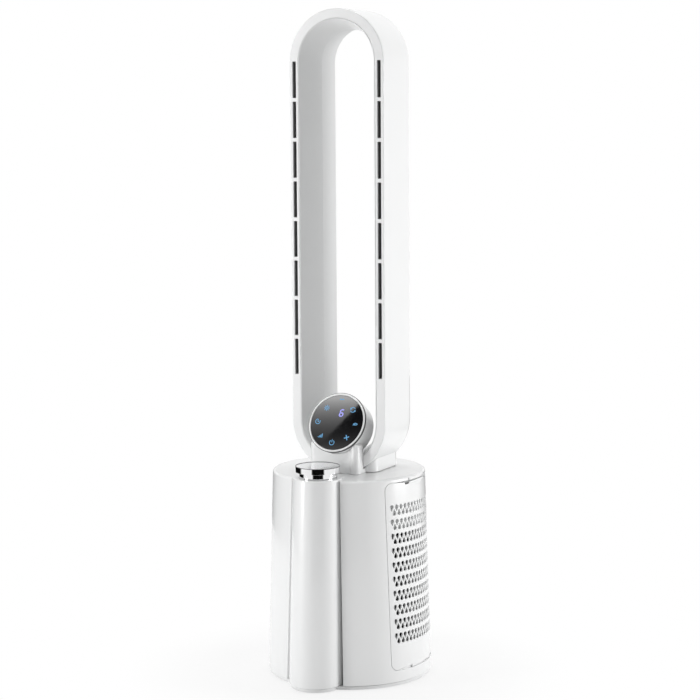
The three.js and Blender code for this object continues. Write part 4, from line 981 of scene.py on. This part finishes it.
group, asked = pleating()
for side, name in ((1, "right"), (-1, "left")):
    pleats = placed("pleats_" + name, bpy.data.meshes.new("pleats_" + name))
    folding = pleats.modifiers.new("folding", "NODES")
    folding.node_group = group
    low_z = pack_low_z + tray_bar
    sizes = {"Pleats": 26, "Half Turn": math.radians(29), "Bottom": low_z, "Top": pack_high_z - tray_bar,
             "Radius": body_radius_at(low_z) - pack_outer - tray_wall, "Taper": taper,
             "Fold": pack_inner - pack_outer - 2 * tray_wall, "Axis Y": turn_y, "Side": float(side),
             "Paper": paper}
    for key, value in sizes.items():
        folding[asked[key]] = value
    thickening = pleats.modifiers.new("thickening", "SOLIDIFY")
    thickening.thickness = paper_thickness
    thickening.offset = 0
    baked(pleats)
    fit(pleats, paper, "cover_" + name, "filter_paper", "filter_pack_" + name)

    shape = bmesh.new()
    bars = ((-pack_half, pack_half, pack_low_z, pack_low_z + tray_bar, pack_inner),
            (-pack_half, pack_half, pack_high_z - tray_bar, pack_high_z, pack_inner),
            (-pack_half, pack_half, pack_high_z - tray_head, pack_high_z, pack_outer + tray_wall),
            (-pack_half, -pack_half + tray_wall, pack_low_z, pack_high_z, pack_inner),
            (pack_half - tray_wall, pack_half, pack_low_z, pack_high_z, pack_inner))
    for y0, y1, z0, z1, inner in bars:
        rings = []
        for step in range(25):
            y = y0 + (y1 - y0) * step / 24
            rings.append([on_side(y, z, depth) * Vector((side, 1, 1)) for z, depth in
                          ((z0, pack_outer), (z1, pack_outer), (z1, inner), (z0, inner))])
        skin(shape, rings)
    tray = finished("filter_tray_" + name, shape)
    fit(tray, inner_white, "cover_" + name, "white_inner", "filter_pack_" + name)
dress(inner_white, "filter_frame_right", "filter_frame_left")

# ---- blower ----
# The blower stands in the middle of the drum: a bell mouth, a casing, a mixed-flow impeller on a
# steel shaft, a motor in a rubber sleeve held by fixed vanes, and a duct up to the neck. The mouldings
# are black and grey plastic, and the whole stack hangs under the deck.
dress(black_plastic, "inlet_bell", "impeller")
dress(grey_plastic, "blower_casing", "guide_vanes", "neck_adapter")
dress(steel, "motor_shaft", "fan_motor")
dress(brass, "impeller_nut")
dress(rubber, "motor_mount")

# ---- neck ----
# A short glossy box with rounded corners that stands on the deck over a thin grey gasket. Its top
# edge is cut to the round foot of the loop.
loop_front_low, loop_front_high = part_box("loop_front")
loop_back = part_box("loop_outer_shell")[1].y
loop_radius = loop_front_high.x
loop_front_y = loop_front_low.y
loop_high_z = loop_front_high.z - loop_radius
loop_low_z = 0.388
loop_foot_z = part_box("loop_outer_shell")[0].z
resting_gap = 0.0003


def track(radius, steps=64):
    """The loop's outline in X and Z at one radius: a tall track with round ends."""
    return (arc_points(0, loop_high_z, radius, 0, math.pi, steps)
            + arc_points(0, loop_low_z, radius, math.pi, math.tau, steps))


outer = neck_outline(0)
inner = neck_outline(neck_wall)
shape = bmesh.new()
skin(shape, [[Vector((a, b, z)) for a, b in line] for line, z in
             ((outer, neck_low.z), (outer, neck_high.z), (inner, neck_high.z), (inner, neck_low.z))], True)
neck = finished("neck_collar", shape)
cut(neck, prism("loop_seat", "Y", track(loop_radius + resting_gap), loop_front_y - overshoot,
                loop_back + overshoot))
casing(neck, "neck")
dress(moulding("grey_rubber", (0.5, 0.5, 0.5), 0.7), "neck_seal")

# ---- loop ----
# The tall loop is three mouldings: a flat front ring with eight slits down each side, an outer
# shell that curves in at the back, and a funnel-shaped inner shell, satin where the others are
# glossy white. They clip together, and the air flows between them.
loop_band = 0.0146
loop_wall = 0.0022
throat_radius = 0.0487
throat_y = loop_front_y + 0.0483
back_radius = 0.0525
back_corner = 0.017
front_edge = 0.0012
loop_seam = 0.0004
air_inset = 0.0066
funnel_lip = 0.0012
funnel_flange = 0.006
slit_count = 8
slit_pitch = 0.05904
slit_length = 0.05384
slit_width = 0.006
slit_x = 0.070
slit_top_z = 0.9236


def round_the_track(name, outline, sharp=35):
    """A piece that carries a closed outline of (radius, y) round the loop."""
    tracks = [track(r) for r, _ in outline]
    rings = [[Vector((x, y, z)) for (x, z), (_, y) in zip(places, outline)] for places in zip(*tracks)]
    shape = bmesh.new()
    skin(shape, rings, True)
    return finished(name, shape, sharp)


def below_foot():
    """What is cut off the loop where it stands flat in the neck."""
    outline = rectangle(-loop_radius, loop_radius, loop_front_y - 0.005, loop_back + 0.005, 0.001)
    return prism("below_foot", "Z", outline, deck_z - 0.02, loop_foot_z)


band_inner = loop_radius - loop_band
frame_back = loop_front_y + loop_wall
ring = round_the_track("loop_ring", rounded([
    (band_inner + loop_seam, frame_back), (band_inner + loop_seam, loop_front_y, 0.0006),
    (loop_radius, loop_front_y, front_edge), (loop_radius, frame_back)]))
cutters = [below_foot()]
for side in (-1, 1):
    for slit in range(slit_count):
        top = slit_top_z - slit * slit_pitch
        x = side * slit_x
        opening = rectangle(x - slit_width / 2, x + slit_width / 2, top - slit_length, top, 0.0005, 2)
        cutters.append(prism("slit", "Y", opening, loop_front_y - 0.005, frame_back + 0.002))
cut(ring, *cutters)
casing(ring, "loop_front")

back_edge = back_radius + loop_wall
shell_front = frame_back + resting_gap
outer_shell = round_the_track("loop_outer", rounded([
    (loop_radius - loop_wall, shell_front), (loop_radius, shell_front, 0.0004),
    (loop_radius, loop_back, back_corner), (back_edge + resting_gap, loop_back, 0.0004),
    (back_edge + resting_gap, loop_back - loop_wall),
    (loop_radius - loop_wall, loop_back - loop_wall, back_corner - loop_wall)], 14))
air_path = prism("air_path", "Z", neck_outline(air_inset, 5), deck_z - overshoot,
                 loop_low_z - throat_radius - 0.008)
cut(outer_shell, below_foot(), air_path)
casing(outer_shell, "loop_outer_shell")

funnel = round_the_track("loop_funnel", rounded([
    (band_inner, loop_front_y, 0.0003), (band_inner - funnel_lip, loop_front_y, 0.0008),
    (throat_radius, throat_y), (back_radius, loop_back, 0.0008), (back_edge, loop_back, 0.0004),
    (throat_radius + loop_wall, throat_y, 0.004), (band_inner, loop_front_y + funnel_flange)], 6), 18)
fit(funnel, satin_white, "housing", "white_satin", "loop_inner_shell")
liner_grey = moulding("slit_liner_plastic", (0.2, 0.2, 0.2), 0.5)
dress(liner_grey, "slit_liner_left", "slit_liner_right")

# ---- display ----
# A round glossy white drum leans back in its cradle, with a smaller boss behind. A white bezel with
# a thin dark ring round it holds a black glass and closes the drum.
to_display = Matrix.Translation(display_place) @ Matrix.Rotation(math.pi / 2 - display_tilt, 4, "X")
bezel_radius = 0.0468
bezel_width = 0.0036
bezel_depth = 0.004
bezel_step = 0.0006
trim_width = 0.0008
glass_back = -0.0028
glass_front = -0.0008
drum_radius = 0.045
drum_depth = 0.034
boss_radius = 0.036
boss_depth = 0.012
drum_wall = 0.0024
drum_front = -bezel_depth - resting_gap
drum_back = drum_front - drum_depth
boss_round = 0.003
boss_back = drum_back - boss_depth + boss_round
glass_radius = bezel_radius - bezel_width - resting_gap


def faced(name, outline, steps=128):
    """A piece turned about the display's own axis, from (radius, height over the face)."""
    shape = bmesh.new()
    spun(shape, outline, 0, 0, steps)
    bmesh.ops.transform(shape, matrix=to_display, verts=shape.verts)
    return finished(name, shape)


bezel_inner = bezel_radius - bezel_width
trim_inner = bezel_radius - trim_width
bezel = faced("display_ring", rounded([
    (bezel_inner, -bezel_depth), (trim_inner, -bezel_depth), (trim_inner, 0, 0.0008),
    (bezel_inner + bezel_step, 0, 0.0003), (bezel_inner, -bezel_step)], 6))
casing(bezel, "display_bezel")
trim = faced("display_trim", rounded([(trim_inner, -bezel_depth), (bezel_radius, -bezel_depth, 0.0002),
                                      (bezel_radius, glass_front, 0.0003), (trim_inner, glass_front)], 3))
fit(trim, dark_trim, "housing", "black_plastic", "display_bezel")


def black_glass(name):
    """Polished black glass with a trace of fingerprints in its gloss."""
    finish, tree, shader = new_finish(name)
    place = tree.place()
    prints = tree.noise(place, 220, 4)
    tree.feed(shader["Base Color"], tree.between((0.002, 0.002, 0.0025, 1), (0.005, 0.005, 0.006, 1), prints))
    tree.feed(shader["Roughness"], prints * 0.05 + 0.01)
    return finish


glass = faced("display_pane", rounded([(0, glass_back), (glass_radius, glass_back),
                                       (glass_radius, glass_front, 0.0003), (0, glass_front)], 3))
fit(glass, black_glass("display_glass"), "housing", "display_glass", "display_glass")
drum_inner = drum_radius - drum_wall
boss_inner = boss_radius - drum_wall
drum = faced("display_drum", rounded([
    (0, boss_back), (boss_radius, boss_back, boss_round), (boss_radius, drum_back),
    (drum_radius, drum_back, 0.004), (drum_radius, drum_front, 0.0004), (drum_inner, drum_front),
    (drum_inner, drum_back + drum_wall, 0.005), (boss_inner, drum_back + drum_wall),
    (boss_inner, boss_back + drum_wall), (0, boss_back + drum_wall)], 8))
casing(drum, "display_housing")
board_green = moulding("circuit_board", (0.02, 0.13, 0.06), 0.35, cloud=0.4)
dress(board_green, "display_board", "power_board")

# ---- symbols on the glass ----
# Thin lit symbols stand a hair above the glass: eight blue touch keys round a violet speed figure.
# They are drawn in millimetres to the right of the glass's middle and up from it.
symbol_width = 1.0


def lit_symbol(name, colour):
    """The even glow of a lit symbol, with a faint unevenness."""
    finish, tree, shader = new_finish(name)
    shader["Base Color"].default_value = (0.01, 0.01, 0.012, 1)
    shader["Roughness"].default_value = 0.35
    shader["Emission Strength"].default_value = 1
    patches = tree.noise(tree.place(), 900, 2)
    tree.feed(shader["Emission Color"], tree.faded(colour, 0.85, patches))
    return finish


def arc(a, b, radius, start, extent, width=symbol_width):
    """The outline of an arc of one width, from a start turn in degrees through an extent."""
    start, end = math.radians(start), math.radians(start + extent)
    return (arc_points(a, b, radius + width / 2, start, end, 24)
            + arc_points(a, b, radius - width / 2, end, start, 24))


def bar(a0, b0, a1, b1, width=symbol_width):
    """The outline of a straight stroke."""
    side = Vector((b0 - b1, a1 - a0)).normalized() * width / 2
    return [(a0 - side.x, b0 - side.y), (a1 - side.x, b1 - side.y), (a1 + side.x, b1 + side.y),
            (a0 + side.x, b0 + side.y)]


def arrow_head(a, b, degrees, size=2.0):
    """A small triangle that points along a turn in degrees."""
    turns = [math.radians(degrees + turn) for turn in (0, 125, 235)]
    return [(a + size * math.cos(turn), b + size * math.sin(turn)) for turn in turns]


def on_glass(name, colour, outlines, height):
    """Stands closed outlines on the glass as one lit piece."""
    shape = bmesh.new()
    for outline in outlines:
        skin(shape, [[to_display @ Vector((a / 1000, b / 1000, z)) for a, b in outline]
                     for z in (glass_front, glass_front + height)])
    fit(finished(name, shape), lit_symbol(name + "_light", colour), "housing", "display_glass")


# a two-headed arrow for the swing
keys = [bar(-1.9, 36.7, 3.3, 36.7, 1.0), arrow_head(3.2, 36.7, 0, 1.6), arrow_head(-1.8, 36.7, 180, 1.6)]
# a sun for the brightness
sun = Vector((-21.5, 21.6))
keys.append(arc(*sun, 2.0, 0, 359, 1.2))
for turn in range(0, 360, 45):
    ray = toward(turn, 1).xy
    keys.append(bar(*(sun + ray * 3.4), *(sun + ray * 4.7), 1.1))
# a clock for the timer
keys += [arc(-31.9, -0.3, 3.8, 100, 290), bar(-31.9, -0.3, -31.9, 3.4), bar(-32.4, -0.3, -29.6, -0.3)]
# rising bars for the speed
keys += [bar(-26.2 + 2.1 * i, -25.0, -26.2 + 2.1 * i, -23.8 + 1.6 * i, 1.4) for i in range(4)]
# an open ring with a stroke for the power
keys += [arc(-1.6, -31.6, 3.8, 122, 296), bar(-1.6, -31.4, -1.6, -26.9)]
# four blades for the fan
rotor = Vector((21.1, -22.2))
for turn in (20, 110, 200, 290):
    keys.append(bar(*rotor, *(rotor + toward(turn, 4.2).xy), 1.5))
# a leaf on its stalk for the gentle breeze
keys += [arc(31.1, -4.0, 4.8, 45, 90), arc(31.1, 2.8, 4.8, 225, 90), bar(27.0, -2.6, 31.4, -0.2, 0.8)]
# two arrows that chase each other for the automatic run
cycle = Vector((22.3, 21.4))
for turn in (0, 180):
    keys.append(arc(*cycle, 3.8, turn + 25, 120))
    keys.append(arrow_head(*(cycle + toward(turn + 158 + 90, 3.8).xy), turn + 250))
on_glass("key_symbols", (0.102, 0.376, 0.680), keys, 0.00005)

figure = Vector((4.8, 15.3))
figure_half = (2.7, 5.0)
slant = 0.16
stroke_end = 1.3
strokes = [((-1, 1), (1, 1)), ((-1, 0), (-1, 1)), ((-1, 0), (1, 0)), ((-1, -1), (-1, 0)), ((1, -1), (1, 0)),
           ((-1, -1), (1, -1))]
for name, colour, width, height in (("speed_figure_rim", (0.19, 0.19, 1.0), 1.9, 0.00004),
                                    ("speed_figure_core", (0.58, 0.58, 1.0), 1.1, 0.00007)):
    outlines = []
    for start, end in strokes:
        ends = []
        for right, up in (start, end):
            b = figure_half[1] * up
            ends.append(figure + Vector((figure_half[0] * right + b * slant, b)))
        inset = (ends[1] - ends[0]).normalized() * (stroke_end - width / 2)
        outlines.append(bar(*(ends[0] + inset), *(ends[1] - inset), width))
    on_glass(name, colour, outlines, height)

# ---- cradle ----
# The cradle that carries the display is one glossy white block hollowed to the drum. Its front sweeps
# from a rounded left corner to a round pillar at the right. It is screwed to the deck from below.
cradle_low, cradle_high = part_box("display_cradle")
cradle_half = cradle_high.x
pillar_radius = 0.008
pillar_x = cradle_half - pillar_radius
pillar_y = cradle_low.y + pillar_radius
cradle_back = loop_front_y - resting_gap
web_setback = 0.0055
web_fillet = 0.006
web_y = cradle_low.y + web_setback - web_fillet
fillet_turn = math.asin((pillar_y - web_y) / (pillar_radius + web_fillet))
web_x = pillar_x - (pillar_radius + web_fillet) * math.cos(fillet_turn)
sweep_width = web_x + pillar_x
sweep_radius = (sweep_width ** 2 + web_setback ** 2) / (2 * web_setback)
sweep_end = math.pi / 2 - math.asin(sweep_width / sweep_radius)
plan = [(cradle_half, cradle_back), (-cradle_half, cradle_back)]
corners = ((-pillar_x, pillar_y, pillar_radius, math.pi, 1.5 * math.pi),
           (-pillar_x, cradle_low.y + sweep_radius, sweep_radius, -math.pi / 2, -sweep_end),
           (web_x, web_y, web_fillet, math.pi / 2, fillet_turn),
           (pillar_x, pillar_y, pillar_radius, math.pi + fillet_turn, math.tau))
for corner in corners:
    plan += arc_points(*corner, 24)
blank_top = cradle_low.z + 0.045
step_top = cradle_low.z + 0.0064
saddle_gap = 0.0005
saddle_reach = 0.09
cradle = prism("cradle", "Z", plan, cradle_low.z, blank_top)
elevation = rectangle(-cradle_half - 0.001, cradle_half + 0.001, cradle_low.z - 0.02, blank_top,
                      pillar_radius, 8)
cut(cradle, prism("cradle_front", "Y", elevation, cradle_low.y - 0.005, 0.02), how="INTERSECT")
steps = []
for x in (-cradle_half, cradle_half / 2):
    plan = rectangle(x, x + cradle_half / 2, cradle_back - 0.001, neck_low.y - resting_gap, 0)
    steps.append(prism("cradle_step", "Z", plan, cradle_low.z, step_top))
cut(cradle, *steps, how="UNION")
saddle = faced("saddle", [(0, -saddle_reach), (drum_radius + saddle_gap, -saddle_reach),
                          (drum_radius + saddle_gap, -bezel_depth - saddle_gap),
                          (bezel_radius + saddle_gap, -bezel_depth - saddle_gap),
                          (bezel_radius + saddle_gap, saddle_reach), (0, saddle_reach)])
loop_room = prism("loop_room", "Y", track(loop_radius + resting_gap), cradle_back, loop_back)
cut(cradle, saddle, loop_room)
casing(cradle, "display_cradle")
dress(steel, "cradle_screw_left", "cradle_screw_right")

# ---- mains inlet ----
# A black socket for a two-pin mains lead, low at the back of the drum. It snaps into its hole from
# outside, and its two brass pins stand in the mouth.
dress(black_plastic, "mains_inlet")
dress(brass, "inlet_pin_left", "inlet_pin_right")
